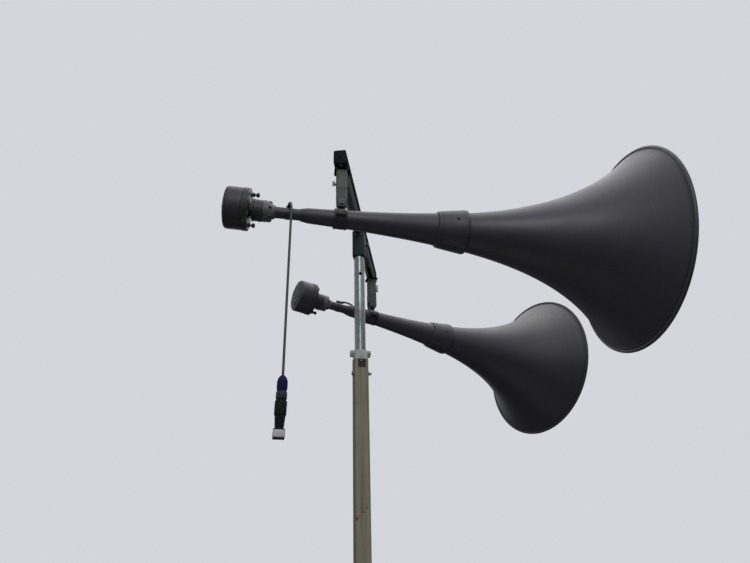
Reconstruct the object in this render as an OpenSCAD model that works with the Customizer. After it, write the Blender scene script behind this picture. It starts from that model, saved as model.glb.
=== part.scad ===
// Telescopic loudspeaker mast: a bolted square post, a sliding round tube, and a crossbeam
// that carries two long exponential horns, each on a swivel and a tilting clevis.
// Origin: mast axis at the underside of the base plate. +X: where the horns aim. +Z: up.

/* [Base] */
// Side of the square base plate
base_side = 300; // [220:10:420]
// Thickness of the base plate
base_thick = 12; // [8:1:25]
// Distance between the anchor holes
anchor_pitch = 220; // [160:10:300]
// Diameter of each anchor hole
anchor_hole_d = 22; // [12:1:30]
// Height of the gusset plates
gusset_height = 120; // [60:5:200]
// Thickness of the gusset plates
gusset_thick = 8; // [5:1:12]

/* [Mast] */
// Side of the square lower tube
post_side = 60; // [55:1:80]
// Wall of the square lower tube
post_wall = 4; // [2:0.5:5]
// Height of the lower tube's top above the ground
post_top = 2376; // [1800:1:2600]
// Diameter of the round sliding tube
tube_d = 48.3; // [42:0.1:50]
// Wall of the round sliding tube
tube_wall = 3.2; // [2:0.1:5]
// Height of the sliding tube's foot
tube_foot_z = 1350; // [900:10:1500]
// Distance between the locking holes of the sliding tube
lock_hole_pitch = 470; // [200:10:480]
// Diameter of the locking holes
lock_hole_d = 11.5; // [8:0.5:16]

/* [Head] */
// Height of the crossbeam's underside
beam_z = 3015; // [2850:5:3200]
// Length of the crossbeam with its end caps
beam_length = 1104; // [1000:2:1500]
// Width of the crossbeam's section
beam_width = 50; // [45:1:60]
// Height of the crossbeam's section
beam_height = 65; // [50:1:80]
// Wall of the crossbeam
beam_wall = 3; // [2:0.5:4]
// Width of the open slot under the crossbeam
beam_slot = 22; // [16:1:28]
// Turn of the crossbeam about the mast
beam_turn = 20; // [0:1:30]
// Side of the square socket on the sliding tube
socket_side = 58; // [56:1:70]
// Length of the socket
socket_length = 130; // [100:5:160]

/* [Hangers] */
// Distance of each hanger from the crossbeam's end
hanger_inset = 50; // [30:1:60]
// Side of the square hanger sleeve
sleeve_side = 42; // [40:1:48]
// Length of the sleeve below the crossbeam
sleeve_length = 98; // [80:1:120]
// Turn of the near sleeve from straight ahead
near_sleeve_yaw = -7; // [-30:1:30]
// Turn of the far sleeve from straight ahead
far_sleeve_yaw = 2; // [-30:1:30]
// Diameter of the swivel's spigot
spigot_d = 30; // [24:1:32]
// Side of the clevis block
clevis_side = 40; // [38:1:44]
// Drop from the crossbeam to the tilt bolt
bolt_drop = 165; // [155:1:190]
// Diameter of the tilt bolt
bolt_d = 12; // [10:1:14]
// Drop from the tilt bolt to the horn's axis
axis_drop = 66; // [64:1:90]

/* [Horns] */
// Near horn's turn from straight ahead
near_yaw = -6.2; // [-40:0.1:4]
// Near horn's tilt, mouth down below zero
near_tilt = -3.8; // [-20:0.1:14]
// Far horn's turn from straight ahead
far_yaw = 15.3; // [0:0.1:45]
// Far horn's tilt, mouth down below zero
far_tilt = -5.8; // [-20:0.1:14]
// Outer radius of the horn at its throat
throat_r = 22.2; // [20:0.1:24]
// Length of the flare from throat to mouth
flare_length = 1414; // [1250:1:1450]
// First flare rate, for each metre
flare_rate = 1.335; // [1.2:0.005:1.4]
// Growth of the flare rate, for each square metre
flare_gain = 0.518; // [0.45:0.001:0.55]
// Distance from the throat to the hanger
hanger_station = 232; // [180:1:300]
// Wall of the horn's shell
shell_wall = 4; // [3:0.5:6]
// Distance from the throat to the joint of neck and bell
joint_station = 662; // [560:1:740]
// Height of the neck's outside above the flare
neck_proud = 3.8; // [2:0.1:5]
// Distance from the throat to the end of the bare throat pipe
neck_start = 77; // [60:1:100]
// Length of the collar over the joint
collar_length = 120; // [80:1:160]
// Height of the collar above the flare
collar_proud = 12; // [8:0.5:14]
// Radius of the mouth's edge bead
bead_r = 6; // [5:0.5:10]

/* [Driver] */
// Length of the throat pipe behind the flare
throat_pipe = 18; // [10:1:40]
// Radius of the bolted throat block
block_r = 41; // [34:1:50]
// Length of the bolted throat block
block_length = 45; // [30:1:60]
// Radius of the adapter
adapter_r = 42; // [34:1:50]
// Length of the adapter
adapter_length = 41; // [30:1:60]
// Radius of the driver pot
pot_r = 83; // [60:1:100]
// Length of the driver pot
pot_length = 92; // [60:1:120]
// Radius of the knob posts' circle
knob_ring_r = 64; // [50:1:70]

/* [Lead] */
// Diameter of each lead
lead_d = 9; // [7:0.5:10]
// Diameter of the connector's ferrule
ferrule_d = 34; // [28:1:40]
// Length of the connector's ferrule
ferrule_length = 53; // [40:1:70]
// Length of the coupled plug and socket below the ferrule
coupler_length = 120; // [112:1:200]
// Length of the lead inside the connector
lead_grip = 95; // [40:1:110]

/* [Hidden] */

$fn = 64;
near = -1;
far = 1;

// Clearances
run_gap = 0.05;
slide_gap = 0.2;
seat_gap = 0.3;
fit_gap = 0.15;

// Finish colours
olive = "#5d6350";
hanger_grey = "#7d8476";
slate = "#2c3138";
zinc = "#c2c8cc";
rust = "#4a342b";
charcoal = "#3b3a3d";
black = "#1d1d1f";
band_blue = "#4a525c";
plug_blue = "#2f5d9c";

// Mast
post_inner = post_side - 2 * post_wall;
tube_r = tube_d / 2;
bush_length = 88;
bush_top = post_top - 7;
screw_z = post_top - 57;
screw_r = 6;
notch_width = 33;
notch_depth = 38;
post_corner = 6;
cap_plate = 8;
ring_height = 42;
ring_wall = 8;
ring_split = 4;
ear_reach = 12;
ear_thick = 24;
ear_height = 24;
ear_bolt_d = 6.6;
tube_top = beam_z - 20;
foot_length = 60;
foot_wall_gap = 0.3;

// Head
socket_corner = 8;
beam_corner = 6;
cap_thick = 3;
lip_height = 8;
knob_z = beam_z - 63;
socket_knob_reach = 17;

// Hangers
hanger_reach = beam_length / 2 - hanger_inset;
plate_side = 60;
plate_thick = 6;
spigot_r = spigot_d / 2;
sleeve_end_z = beam_z - sleeve_length;
bore_end_z = beam_z - plate_thick - 6;
groove_z = beam_z - 68;
near_wing_length = 20;
far_wing_length = 44;
far_wing_rise = 14;
groove_height = 12;
groove_depth = 3;
pivot_z = beam_z - bolt_drop;
ear_r = 18;
slot_width = 17;
slot_head = 22;
lug_thick = 16.4;
lug_r = 15;
bolt_r = bolt_d / 2;
bolt_head_r = 10;
bolt_head_height = 7;

// Horns, measured along the axis from the hanger, mouth at the positive end
mouth_z = flare_length - hanger_station;
throat_z = -hanger_station;
pipe_z = throat_z - throat_pipe;
block_z = pipe_z - block_length;
adapter_z = block_z - adapter_length;
block_rim = 22;
pot_flange = 24;
flange_thick = 4;
spool_length = 7;
spool_r = 27;
pot_z = adapter_z - flange_thick - spool_length - pot_length;
joint_z = joint_station - hanger_station;
neck_z = throat_z + neck_start;
neck_taper = 30;
band_length = 54;
band_wall = 5;
gland_z = -202;
gland_height = 8;
near_gland_turn = -73;
far_gland_turn = 0;
flare_step = 40;
lead_r = lead_d / 2;

// Outer radius of the flare at a distance from the hanger
function flare_r(z) = let (u = (z + hanger_station) / 1000)
    throat_r * exp(flare_rate * u + flare_gain * u * u);

// Stations along the flare, close together where it opens
function stations(from, to) = let (n = max(2, ceil((to - from) / flare_step)))
    [for (i = [0:n]) from + (to - from) * i / n];

function flare_points(from, to, grow) =
    [for (z = stations(from, to)) [flare_r(z) + grow, z]];

function reversed(list) = [for (i = [len(list) - 1:-1:0]) list[i]];

// A closed wall between two offsets of the flare
function flare_wall(from, to, outer, inner) =
    concat(flare_points(from, to, outer), reversed(flare_points(from, to, inner)));

function hanger_xy(side) = [
    side * hanger_reach * sin(beam_turn),
    side * hanger_reach * cos(beam_turn)
];
function yaw_of(side) = side == near ? near_yaw : far_yaw;
function tilt_of(side) = side == near ? near_tilt : far_tilt;
function sleeve_yaw_of(side) = side == near ? near_sleeve_yaw : far_sleeve_yaw;

// Lead routes, from the gland to the top of the connector
near_route = [
    [-373, -464, 2829], [-372, -478, 2826], [-370, -490, 2818], [-369, -499, 2805],
    [-368, -502, 2790], [-368, -502, 2760], [-368, -502, 2700], [-368, -502, 2640],
    [-368, -502, 2580], [-368, -502, 2510], [-368, -502, 2440], [-368, -502, 2370],
    [-368, -502, 2290], [-368, -502, 2210], [-368, -502, 2130], [-368, -502, 2046]
];
far_route = [
    [-14, 421, 2834], [-2, 425, 2838], [12, 428, 2841], [28, 434, 2841],
    [46, 443, 2839], [63, 456, 2834], [79, 473, 2825], [92, 488, 2812],
    [102, 498, 2795], [109, 502, 2775], [113, 504, 2749], [115, 505, 2713],
    [115, 505, 2650], [115, 505, 2580], [115, 505, 2500], [115, 505, 2420],
    [115, 505, 2280], [115, 505, 2151]
];

// A point of a smooth curve through four points, between the middle two
function smooth_point(a, b, c, d, t) = 0.5 * (2 * b + (c - a) * t
    + (2 * a - 5 * b + 4 * c - d) * t * t + (3 * b - a - 3 * c + d) * t * t * t);

function smooth_route(p, parts) = concat(
    [for (i = [0:len(p) - 2], k = [0:parts - 1])
        smooth_point(p[max(i - 1, 0)], p[i], p[i + 1], p[min(i + 2, len(p) - 1)], k / parts)],
    [p[len(p) - 1]]
);

function unit(v) = v / norm(v);

module rounded_square(w, h, r) {
    square([w - 2 * r, h], center = true);
    square([w, h - 2 * r], center = true);
    for (x = [-1, 1], y = [-1, 1])
        translate([x * (w / 2 - r), y * (h / 2 - r)]) circle(r);
}

module rounded_bar(w, h, r, length) {
    linear_extrude(length) rounded_square(w, h, r);
}

// A tube of a given radius along a list of points
module tube_along(points, r, sides = 10) {
    n = len(points);
    up = [-1, 1, 0];
    rings = [for (i = [0:n - 1])
        let (
            t = unit(points[min(i + 1, n - 1)] - points[max(i - 1, 0)]),
            a = unit(cross(t, up)),
            b = cross(t, a)
        )
        for (k = [0:sides - 1])
            points[i] + r * (cos(360 * k / sides) * a + sin(360 * k / sides) * b)
    ];
    walls = [for (i = [0:n - 2], k = [0:sides - 1])
        let (m = (k + 1) % sides)
        [i * sides + k, (i + 1) * sides + k, (i + 1) * sides + m, i * sides + m]
    ];
    first_end = [for (k = [0:sides - 1]) k];
    last_end = [for (k = [sides - 1:-1:0]) (n - 1) * sides + k];
    polyhedron(rings, concat(walls, [first_end, last_end]), convexity = 6);
}

// Placement on the crossbeam, at a hanger, at the tilt bolt and on the horn's axis
module on_beam() {
    rotate([0, 0, 90 - beam_turn]) translate([0, 0, beam_z]) children();
}

module at_hanger(side, yaw) {
    translate([hanger_xy(side)[0], hanger_xy(side)[1], 0]) rotate([0, 0, yaw]) children();
}

module at_pivot(side) {
    at_hanger(side, yaw_of(side)) translate([0, 0, pivot_z]) children();
}

module on_horn(side) {
    at_pivot(side) rotate([0, -tilt_of(side), 0])
        translate([0, 0, -axis_drop]) rotate([0, 90, 0]) children();
}

// Base
module base_plate() {
    color(olive) difference() {
        translate([-base_side / 2, -base_side / 2, 0])
            cube([base_side, base_side, base_thick]);
        for (x = [-1, 1], y = [-1, 1])
            translate([x * anchor_pitch / 2, y * anchor_pitch / 2, -1])
                cylinder(d = anchor_hole_d, h = base_thick + 2);
    }
}

module base_gussets() {
    reach = (base_side - post_side) / 2 - 20;
    color(olive) for (a = [0:90:270]) rotate([0, 0, a])
        translate([post_side / 2, gusset_thick / 2, base_thick]) rotate([90, 0, 0])
            linear_extrude(gusset_thick)
                polygon([[0, 0], [reach, 0], [reach, 15], [15, gusset_height], [0, gusset_height]]);
}

// Mast
module lower_tube() {
    color(olive) difference() {
        translate([0, 0, base_thick])
            rounded_bar(post_side, post_side, post_corner, post_top - base_thick);
        translate([0, 0, base_thick - 1])
            rounded_bar(post_inner, post_inner, post_corner - post_wall, post_top - base_thick + 2);
        translate([-notch_width / 2, -post_side / 2 - 1, post_top - notch_depth])
            cube([notch_width, post_wall + 2, notch_depth + 1]);
        translate([-post_side, 0, screw_z]) rotate([0, 90, 0])
            cylinder(r = screw_r + slide_gap, h = 2 * post_side);
    }
}

module guide_bush() {
    side = post_inner - 2 * slide_gap;
    color(rust) difference() {
        translate([0, 0, bush_top - bush_length])
            rounded_bar(side, side, post_corner - post_wall, bush_length);
        translate([0, 0, bush_top - bush_length - 1])
            cylinder(r = tube_r + run_gap, h = bush_length + 2);
        translate([-post_side, 0, screw_z]) rotate([0, 90, 0])
            cylinder(r = screw_r + slide_gap, h = 2 * post_side);
    }
}

module clamp_collar() {
    ring_r = tube_r + ring_wall;
    ear_z = post_top + ring_height - ear_height / 2;
    color(olive) difference() {
        union() {
            translate([0, 0, post_top]) rounded_bar(post_side, post_side, post_corner, cap_plate);
            translate([0, 0, post_top]) cylinder(r = ring_r, h = ring_height);
            for (x = [-1, 1]) translate([x * (ring_r + ear_reach / 2 - 2), 0, ear_z])
                cube([ear_reach + 4, ear_thick, ear_height], center = true);
        }
        translate([0, 0, post_top - 1]) cylinder(r = tube_r + run_gap, h = ring_height + 2);
        translate([0, 0, ear_z + 1])
            cube([2 * (ring_r + ear_reach) + 2, ring_split, ear_height + 2], center = true);
        for (x = [-1, 1]) translate([x * (ring_r + ear_reach / 2), ear_thick, ear_z])
            rotate([90, 0, 0]) cylinder(d = ear_bolt_d, h = 2 * ear_thick);
    }
}

module clamp_screws() {
    color(zinc) for (side = [-1, 1]) {
        reach = side < 0 ? 8 : 18;
        translate([side * (tube_r + seat_gap), 0, screw_z]) rotate([0, side * 90, 0]) {
            cylinder(r = screw_r, h = post_side / 2 - tube_r + reach - seat_gap);
            translate([0, 0, post_side / 2 - tube_r]) cylinder(r = 11, h = 8, $fn = 6);
        }
    }
}

module upper_tube() {
    color(zinc) difference() {
        translate([0, 0, tube_foot_z]) cylinder(r = tube_r, h = tube_top - seat_gap - tube_foot_z);
        translate([0, 0, tube_foot_z - 1]) cylinder(r = tube_r - tube_wall, h = tube_top - tube_foot_z + 2);
        for (k = [-1:1])
            for (turn = [0, -90])
                translate([0, 0, screw_z + k * lock_hole_pitch]) rotate([0, 0, turn])
                    translate([-tube_d, 0, 0]) rotate([0, 90, 0])
                        cylinder(d = lock_hole_d, h = 2 * tube_d);
    }
}

module tube_foot() {
    side = post_inner - 2 * foot_wall_gap;
    color(slate) difference() {
        union() {
            translate([0, 0, tube_foot_z - 8])
                rounded_bar(side, side, post_corner - post_wall, 8);
            translate([0, 0, tube_foot_z - 1])
                cylinder(r = tube_r - tube_wall - run_gap, h = foot_length);
        }
        translate([0, 0, tube_foot_z - 9]) cylinder(r = 12, h = foot_length + 10);
    }
}

// Head
module head_socket() {
    color(slate) difference() {
        rotate([0, 0, 90 - beam_turn]) translate([0, 0, beam_z - socket_length])
            rounded_bar(socket_side, socket_side, socket_corner, socket_length);
        translate([0, 0, beam_z - socket_length - 1])
            cylinder(r = tube_r + run_gap, h = tube_top - beam_z + socket_length + 1);
        rotate([0, 0, -beam_turn]) translate([0, 0, knob_z]) rotate([0, 90, 0])
            cylinder(r = screw_r + slide_gap, h = socket_side);
    }
}

module head_knob() {
    color(black) rotate([0, 0, -beam_turn]) translate([tube_r + seat_gap, 0, knob_z]) rotate([0, 90, 0]) {
        stem = socket_side / 2 - tube_r - seat_gap;
        cylinder(r = screw_r, h = stem + socket_knob_reach);
        translate([0, 0, stem + 3]) cylinder(r = 9, h = socket_knob_reach - 3);
    }
}

module crossbeam() {
    bar = beam_length - 2 * cap_thick;
    color(slate) on_beam() translate([-bar / 2, 0, beam_height / 2]) rotate([90, 0, 90])
        linear_extrude(bar) {
            difference() {
                rounded_square(beam_width, beam_height, beam_corner);
                rounded_square(
                    beam_width - 2 * beam_wall, beam_height - 2 * beam_wall, beam_corner - beam_wall
                );
                translate([0, -beam_height / 2]) square([beam_slot, 3 * beam_wall], center = true);
            }
            for (x = [-1, 1])
                translate([x * (beam_slot + beam_wall) / 2, -beam_height / 2 + lip_height / 2])
                    square([beam_wall, lip_height], center = true);
        }
}

module beam_caps() {
    grow = 2 * beam_wall + 2 * slide_gap;
    color(black) on_beam() for (s = [-1, 1])
        translate([s * (beam_length / 2 - cap_thick), 0, beam_height / 2]) rotate([90, 0, s * 90]) {
            rounded_bar(beam_width, beam_height, beam_corner, cap_thick);
            translate([0, 5, -10])
                rounded_bar(beam_width - grow, beam_height - grow - 14, 2, 10.5);
        }
}

// Hangers
module sleeve(side) {
    thumb = side == near ? 180 : 0;
    color(hanger_grey) at_hanger(side, sleeve_yaw_of(side)) difference() {
        union() {
            translate([0, 0, sleeve_end_z]) rounded_bar(sleeve_side, sleeve_side, 4, sleeve_length);
            translate([0, 0, beam_z - plate_thick]) rounded_bar(plate_side, plate_side, 4, plate_thick);
        }
        translate([0, 0, sleeve_end_z - 1])
            cylinder(r = spigot_r + run_gap, h = bore_end_z - sleeve_end_z + 1);
        rotate([0, 0, thumb]) translate([0, 0, groove_z]) rotate([0, 90, 0])
            cylinder(r = 4 + slide_gap, h = sleeve_side);
    }
}

module thumb_screw(side) {
    thumb = side == near ? 180 : 0;
    tip = spigot_r - groove_depth + seat_gap;
    color(zinc) at_hanger(side, sleeve_yaw_of(side)) rotate([0, 0, thumb])
        translate([tip, 0, groove_z]) rotate([0, 90, 0]) {
            cylinder(r = 4, h = sleeve_side / 2 - tip + 5);
            translate([0, 0, sleeve_side / 2 - tip + 4]) cylinder(r = 6, h = 5);
            translate([side == near ? 0 : -far_wing_rise, 0, sleeve_side / 2 - tip + 14])
                cube([side == near ? near_wing_length : far_wing_length, 3.5, 12], center = true);
        }
}

module clevis(side) {
    top = sleeve_end_z - seat_gap;
    color(hanger_grey) at_hanger(side, yaw_of(side)) difference() {
        union() {
            translate([0, 0, top - 1]) cylinder(r = spigot_r, h = bore_end_z - 2 - top + 1);
            translate([0, 0, pivot_z]) rounded_bar(clevis_side, clevis_side, 3, top - pivot_z);
            translate([0, clevis_side / 2, pivot_z]) rotate([90, 0, 0])
                cylinder(r = ear_r, h = clevis_side);
        }
        translate([0, 0, groove_z - groove_height / 2]) difference() {
            cylinder(r = spigot_r + 1, h = groove_height);
            cylinder(r = spigot_r - groove_depth, h = groove_height);
        }
        translate([-clevis_side, -slot_width / 2, pivot_z - ear_r - 1])
            cube([2 * clevis_side, slot_width, ear_r + 1 + slot_head]);
        translate([0, clevis_side, pivot_z]) rotate([90, 0, 0])
            cylinder(r = bolt_r + run_gap, h = 2 * clevis_side);
    }
}

module tilt_bolt(side) {
    half = clevis_side / 2;
    color(zinc) at_pivot(side) rotate([90, 0, 0]) {
        translate([0, 0, -half - 12]) cylinder(r = bolt_r, h = 2 * half + 12);
        translate([0, 0, half]) cylinder(r = bolt_head_r, h = bolt_head_height);
        translate([0, 0, -half - 9]) cylinder(r = bolt_head_r, h = 9, $fn = 6);
    }
}

// Clamp band around the neck, in two halves, with the lug that hangs on the tilt bolt
module band(side) {
    outer = flare_r(0) + neck_proud + band_wall;
    color(band_blue) on_horn(side) difference() {
        union() {
            translate([0, 0, -band_length / 2]) cylinder(r = outer, h = band_length);
            translate([-axis_drop, 0, 0]) rotate([90, 0, 0])
                translate([0, 0, -lug_thick / 2]) cylinder(r = lug_r, h = lug_thick);
            translate([-axis_drop, -lug_thick / 2, -lug_r])
                cube([axis_drop, lug_thick, 2 * lug_r]);
            translate([-6, -outer - 13, -band_length / 2 + 6])
                cube([12, 2 * outer + 26, band_length - 12]);
        }
        rotate_extrude() polygon(concat(
            [[0, band_length], [0, -band_length]],
            flare_points(-band_length, band_length, neck_proud + fit_gap)
        ));
        translate([-1, -2 * outer, -band_length]) cube([2, 4 * outer, 2 * band_length]);
        translate([-axis_drop, lug_thick, 0]) rotate([90, 0, 0])
            cylinder(r = bolt_r + run_gap, h = 2 * lug_thick);
    }
}

// Horn
module neck(side) {
    color(charcoal) on_horn(side) rotate_extrude()
        polygon(concat(
            [[throat_r, pipe_z], [throat_r, neck_z]],
            flare_points(neck_z + neck_taper, joint_z, neck_proud),
            reversed(flare_points(neck_z + neck_taper, joint_z, -shell_wall)),
            [[throat_r - shell_wall, neck_z], [throat_r - shell_wall, pipe_z]]
        ));
}

module collar(side) {
    rear = joint_z - 0.45 * collar_length;
    front = joint_z + 0.55 * collar_length;
    color(charcoal) on_horn(side) rotate_extrude()
        polygon(concat(
            [
                [flare_r(rear) + collar_proud - 5, rear], [flare_r(rear) + collar_proud, rear + 6],
                [flare_r(front - 6) + collar_proud, front - 6], [flare_r(front) + 3, front]
            ],
            reversed(flare_points(joint_z, front, fit_gap)),
            reversed(flare_points(rear, joint_z, neck_proud + fit_gap))
        ));
}

module bell(side) {
    bead_z = mouth_z - 2 * bead_r;
    color(charcoal) on_horn(side) rotate_extrude()
        polygon(concat(
            flare_points(joint_z, bead_z, 0),
            [[flare_r(mouth_z), mouth_z], [flare_r(mouth_z) - shell_wall, mouth_z]],
            reversed(flare_points(joint_z, bead_z, -shell_wall))
        ));
}

module rim(side) {
    centre_r = flare_r(mouth_z) - shell_wall / 2;
    color(black) on_horn(side) rotate_extrude() difference() {
        translate([centre_r, mouth_z - 1]) circle(r = bead_r, $fn = 24);
        polygon([
            [centre_r - shell_wall, mouth_z - 2 * bead_r],
            [flare_r(mouth_z - 2 * bead_r) + fit_gap, mouth_z - 2 * bead_r],
            [flare_r(mouth_z) + fit_gap, mouth_z],
            [flare_r(mouth_z) + fit_gap, mouth_z + fit_gap],
            [flare_r(mouth_z) - shell_wall - fit_gap, mouth_z + fit_gap],
            [flare_r(mouth_z) - shell_wall - fit_gap, mouth_z],
            [flare_r(mouth_z - 2 * bead_r) - shell_wall - fit_gap, mouth_z - 2 * bead_r]
        ]);
    }
}

// Driver
module throat_block(side) {
    color(olive) on_horn(side) difference() {
        union() {
            translate([0, 0, block_z]) cylinder(r = block_r, h = block_rim);
            translate([0, 0, block_z + block_rim - 0.01])
                cylinder(r1 = block_r - 5, r2 = throat_r + 3, h = block_length - block_rim + 0.01);
        }
        translate([0, 0, block_z - 1]) cylinder(r = throat_r - shell_wall, h = block_length + 2);
    }
}

module adapter(side) {
    color(band_blue) on_horn(side) difference() {
        union() {
            translate([0, 0, adapter_z]) cylinder(r = adapter_r, h = adapter_length);
            translate([0, 0, adapter_z - flange_thick]) cylinder(r = adapter_r + 3, h = flange_thick);
            translate([0, 0, adapter_z - flange_thick - spool_length])
                cylinder(r = spool_r, h = spool_length);
        }
        translate([0, 0, pot_z]) cylinder(r = throat_r - shell_wall, h = adapter_length + pot_length);
    }
}

module driver(side) {
    edge = 7;
    cover_r = pot_r - 2;
    front = pot_z + pot_length;
    color(black) on_horn(side) rotate_extrude()
        polygon([
            [0, pot_z - 4], [cover_r - 22, pot_z - 4], [cover_r - 16, pot_z], [cover_r - edge, pot_z],
            [cover_r, pot_z + edge], [cover_r, front - pot_flange], [pot_r, front - pot_flange],
            [pot_r, front - 4], [pot_r - 4, front], [0, front]
        ]);
}

module driver_posts(side) {
    color(black) on_horn(side) for (s = [-1, 1])
        translate([s * knob_ring_r, 0, pot_z + pot_length]) {
            cylinder(r = 9, h = 14, $fn = 6);
            cylinder(r = 4, h = 24);
            translate([0, 0, 22]) cylinder(r = 8.5, h = 12);
        }
}

// Lead
module gland(side) {
    seat = flare_r(gland_z);
    nozzle = side == near ? near_gland_turn : far_gland_turn;
    color(black) on_horn(side) difference() {
        union() {
            translate([-seat - gland_height, -8, gland_z - 10]) cube([12, 16, 20]);
            translate([-seat - gland_height, 0, gland_z]) rotate([-nozzle, 0, 0])
                translate([0, 0, -10]) cylinder(r = 8, h = 26);
        }
        translate([0, 0, gland_z - 40]) cylinder(r = throat_r + fit_gap, h = 80);
    }
}

module lead(side) {
    route = side == near ? near_route : far_route;
    color(black) tube_along(smooth_route(route, 2), lead_r);
}

module connector(side) {
    route = side == near ? near_route : far_route;
    ferrule_r = ferrule_d / 2;
    body_r = ferrule_r + 2;
    bore_r = lead_r + fit_gap;
    end = ferrule_length + coupler_length;
    difference() {
        translate(route[len(route) - 1] + [0, 0, lead_grip]) mirror([0, 0, 1]) union() {
            color(plug_blue) rotate_extrude() polygon([
                [0, 0], [ferrule_r - 5, 0], [ferrule_r - 2, 5], [ferrule_r, ferrule_length / 2],
                [ferrule_r - 1, ferrule_length], [0, ferrule_length]
            ]);
            color(black) rotate_extrude() polygon([
                [0, ferrule_length], [body_r, ferrule_length],
                [body_r, ferrule_length + 30], [body_r - 2, ferrule_length + 34],
                [body_r, ferrule_length + 40], [body_r, end - 60],
                [body_r - 2, end - 55], [body_r, end - 48],
                [body_r, end - 14], [body_r - 3, end], [0, end]
            ]);
        }
        translate(route[len(route) - 1] - [0, 0, fit_gap]) cylinder(r = bore_r, h = lead_grip + 1);
    }
}

base_plate();
base_gussets();
lower_tube();
guide_bush();
clamp_collar();
clamp_screws();
upper_tube();
tube_foot();
head_socket();
head_knob();
crossbeam();
beam_caps();
sleeve(near);  // near_sleeve
sleeve(far);  // far_sleeve
thumb_screw(near);  // near_thumb_screw
thumb_screw(far);  // far_thumb_screw
clevis(near);  // near_clevis
tilt_bolt(near);  // near_tilt_bolt
clevis(far);  // far_clevis
tilt_bolt(far);  // far_tilt_bolt
band(near);  // near_band
neck(near);  // near_neck
collar(near);  // near_collar
bell(near);  // near_bell
rim(near);  // near_rim
throat_block(near);  // near_throat_block
adapter(near);  // near_adapter
driver(near);  // near_driver
driver_posts(near);  // near_driver_posts
gland(near);  // near_gland
lead(near);  // near_lead
connector(near);  // near_connector
band(far);  // far_band
neck(far);  // far_neck
collar(far);  // far_collar
bell(far);  // far_bell
rim(far);  // far_rim
throat_block(far);  // far_throat_block
adapter(far);  // far_adapter
driver(far);  // far_driver
driver_posts(far);  // far_driver_posts
gland(far);  // far_gland
lead(far);  // far_lead
connector(far);  // far_connector
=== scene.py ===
"""Telescopic mast with a turning crossbeam and two long horn loudspeakers."""
import math
from collections import namedtuple

import bmesh
import bpy
from bpy.props import FloatProperty, FloatVectorProperty, IntProperty, PointerProperty
from mathutils import Matrix, Vector


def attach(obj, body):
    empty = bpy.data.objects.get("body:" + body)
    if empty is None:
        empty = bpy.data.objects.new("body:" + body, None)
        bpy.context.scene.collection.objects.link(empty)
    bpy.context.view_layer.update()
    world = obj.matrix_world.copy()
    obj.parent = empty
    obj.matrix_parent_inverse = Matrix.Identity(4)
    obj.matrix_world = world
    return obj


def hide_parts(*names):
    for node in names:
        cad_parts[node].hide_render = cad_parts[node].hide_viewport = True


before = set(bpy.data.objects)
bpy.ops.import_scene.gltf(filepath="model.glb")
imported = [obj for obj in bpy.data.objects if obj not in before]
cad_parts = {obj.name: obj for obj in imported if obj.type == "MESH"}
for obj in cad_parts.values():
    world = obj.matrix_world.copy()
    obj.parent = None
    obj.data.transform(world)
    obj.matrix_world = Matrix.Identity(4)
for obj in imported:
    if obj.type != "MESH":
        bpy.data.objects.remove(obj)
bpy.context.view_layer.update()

bl_info = {
    "name": "Horn Mast",
    "version": (1, 0, 0),
    "blender": (4, 5, 0),
    "location": "View3D > Sidebar > Horn Mast",
    "description": "Builds a telescopic mast with two horn loudspeakers",
    "category": "Add Mesh",
}

# Lengths are in metres and angles in radians

# The post and the sliding tube. Dark runs set in between the two heights of RUST_RUNS, and
# painted shade rings the drilled holes between the two radii just below, widening each dark
# hole.
POST_SIDE = 0.060
POST_TOP = 2.376
RUST_RUNS = (2.08, 2.35)
HOLE_SHADE_RADII = (0.0105, 0.0070)
SCREW_Z = 2.319
CLAMP_HEIGHT = 0.042
TUBE_RADIUS = 0.02415
TUBE_HOLES = (1.849, 2.319, 2.789)
BASE_THICK = 0.012
GUSSET_REACH = 0.130
GUSSET_HEIGHT = 0.118

# The crossbeam and its hangers
BEAM_Z = 3.015
BEAM_LENGTH = 1.104
BEAM_HEIGHT = 0.065
BEAM_WIDTH = 0.050
# Beyond this distance from the middle, the inside and underside stay slate as painted shade
END_SHADE_START = 0.475
BEAM_TURN = math.radians(20)
SOCKET_SIDE = 0.058
SOCKET_LENGTH = 0.130
KNOB_Z = BEAM_Z - 0.063
HANGER_REACH = 0.502
SLEEVE_SIDE = 0.042
SLEEVE_LENGTH = 0.098
SLEEVE_PLATE = 0.006
WING_SCREW_Z = BEAM_Z - 0.068
PIVOT_Z = 2.850
CLEVIS_SIDE = 0.040

# Stations along a horn's axis from its pivot, with the mouth forward, and its radii
AXIS_DROP = 0.066
MOUTH = 1.182
COLLAR_FRONT = 0.496
JOINT = 0.430
COLLAR_REAR = 0.376
NECK_FULL = -0.125
NECK_START = -0.155
GLAND = -0.202
THROAT = -0.232
PIPE_END = -0.250
BLOCK_END = -0.295
ADAPTER_END = -0.336
POT_FRONT = -0.347
POT_REAR = -0.439
NECK_PROUD = 0.0038
BORE_RADIUS = 0.0182
POT_RADIUS = 0.083
KNOB_CIRCLE = 0.069
BEAD_BACK = 0.0030
# Length of the dark ring behind the bead, a painted shadow of the crevice
CREVICE_SHADE_LENGTH = 0.0026

# Lead inside the connector, and the length of the strain relief
LEAD_GRIP = 0.095
BOOT_LENGTH = 0.026

# Points closer than these are merged. Edges flatter than the first angle are dissolved, and
# edges sharper than the second are rounded.
MERGE = 1e-6
NODE_MERGE = 1e-5
FLAT_EDGE = math.radians(0.5)
SHARP_EDGE = math.radians(30)

# The photograph's camera, and the stage
CAMERA_PLACE = (-0.5061, -2.3098, 1.6)
CAMERA_RIGHT = (0.9722, -0.2333, -0.0218)
CAMERA_AHEAD = (0.2189, 0.8710, 0.4398)
LENS = 27.22
SENSOR_WIDTH = 36.0
FLOOR_RADIUS = 1.20
FLOOR_THICK = 0.03
FLOOR_GREYS = ((0.42, 0.42, 0.43), (0.47, 0.47, 0.47))
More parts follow.
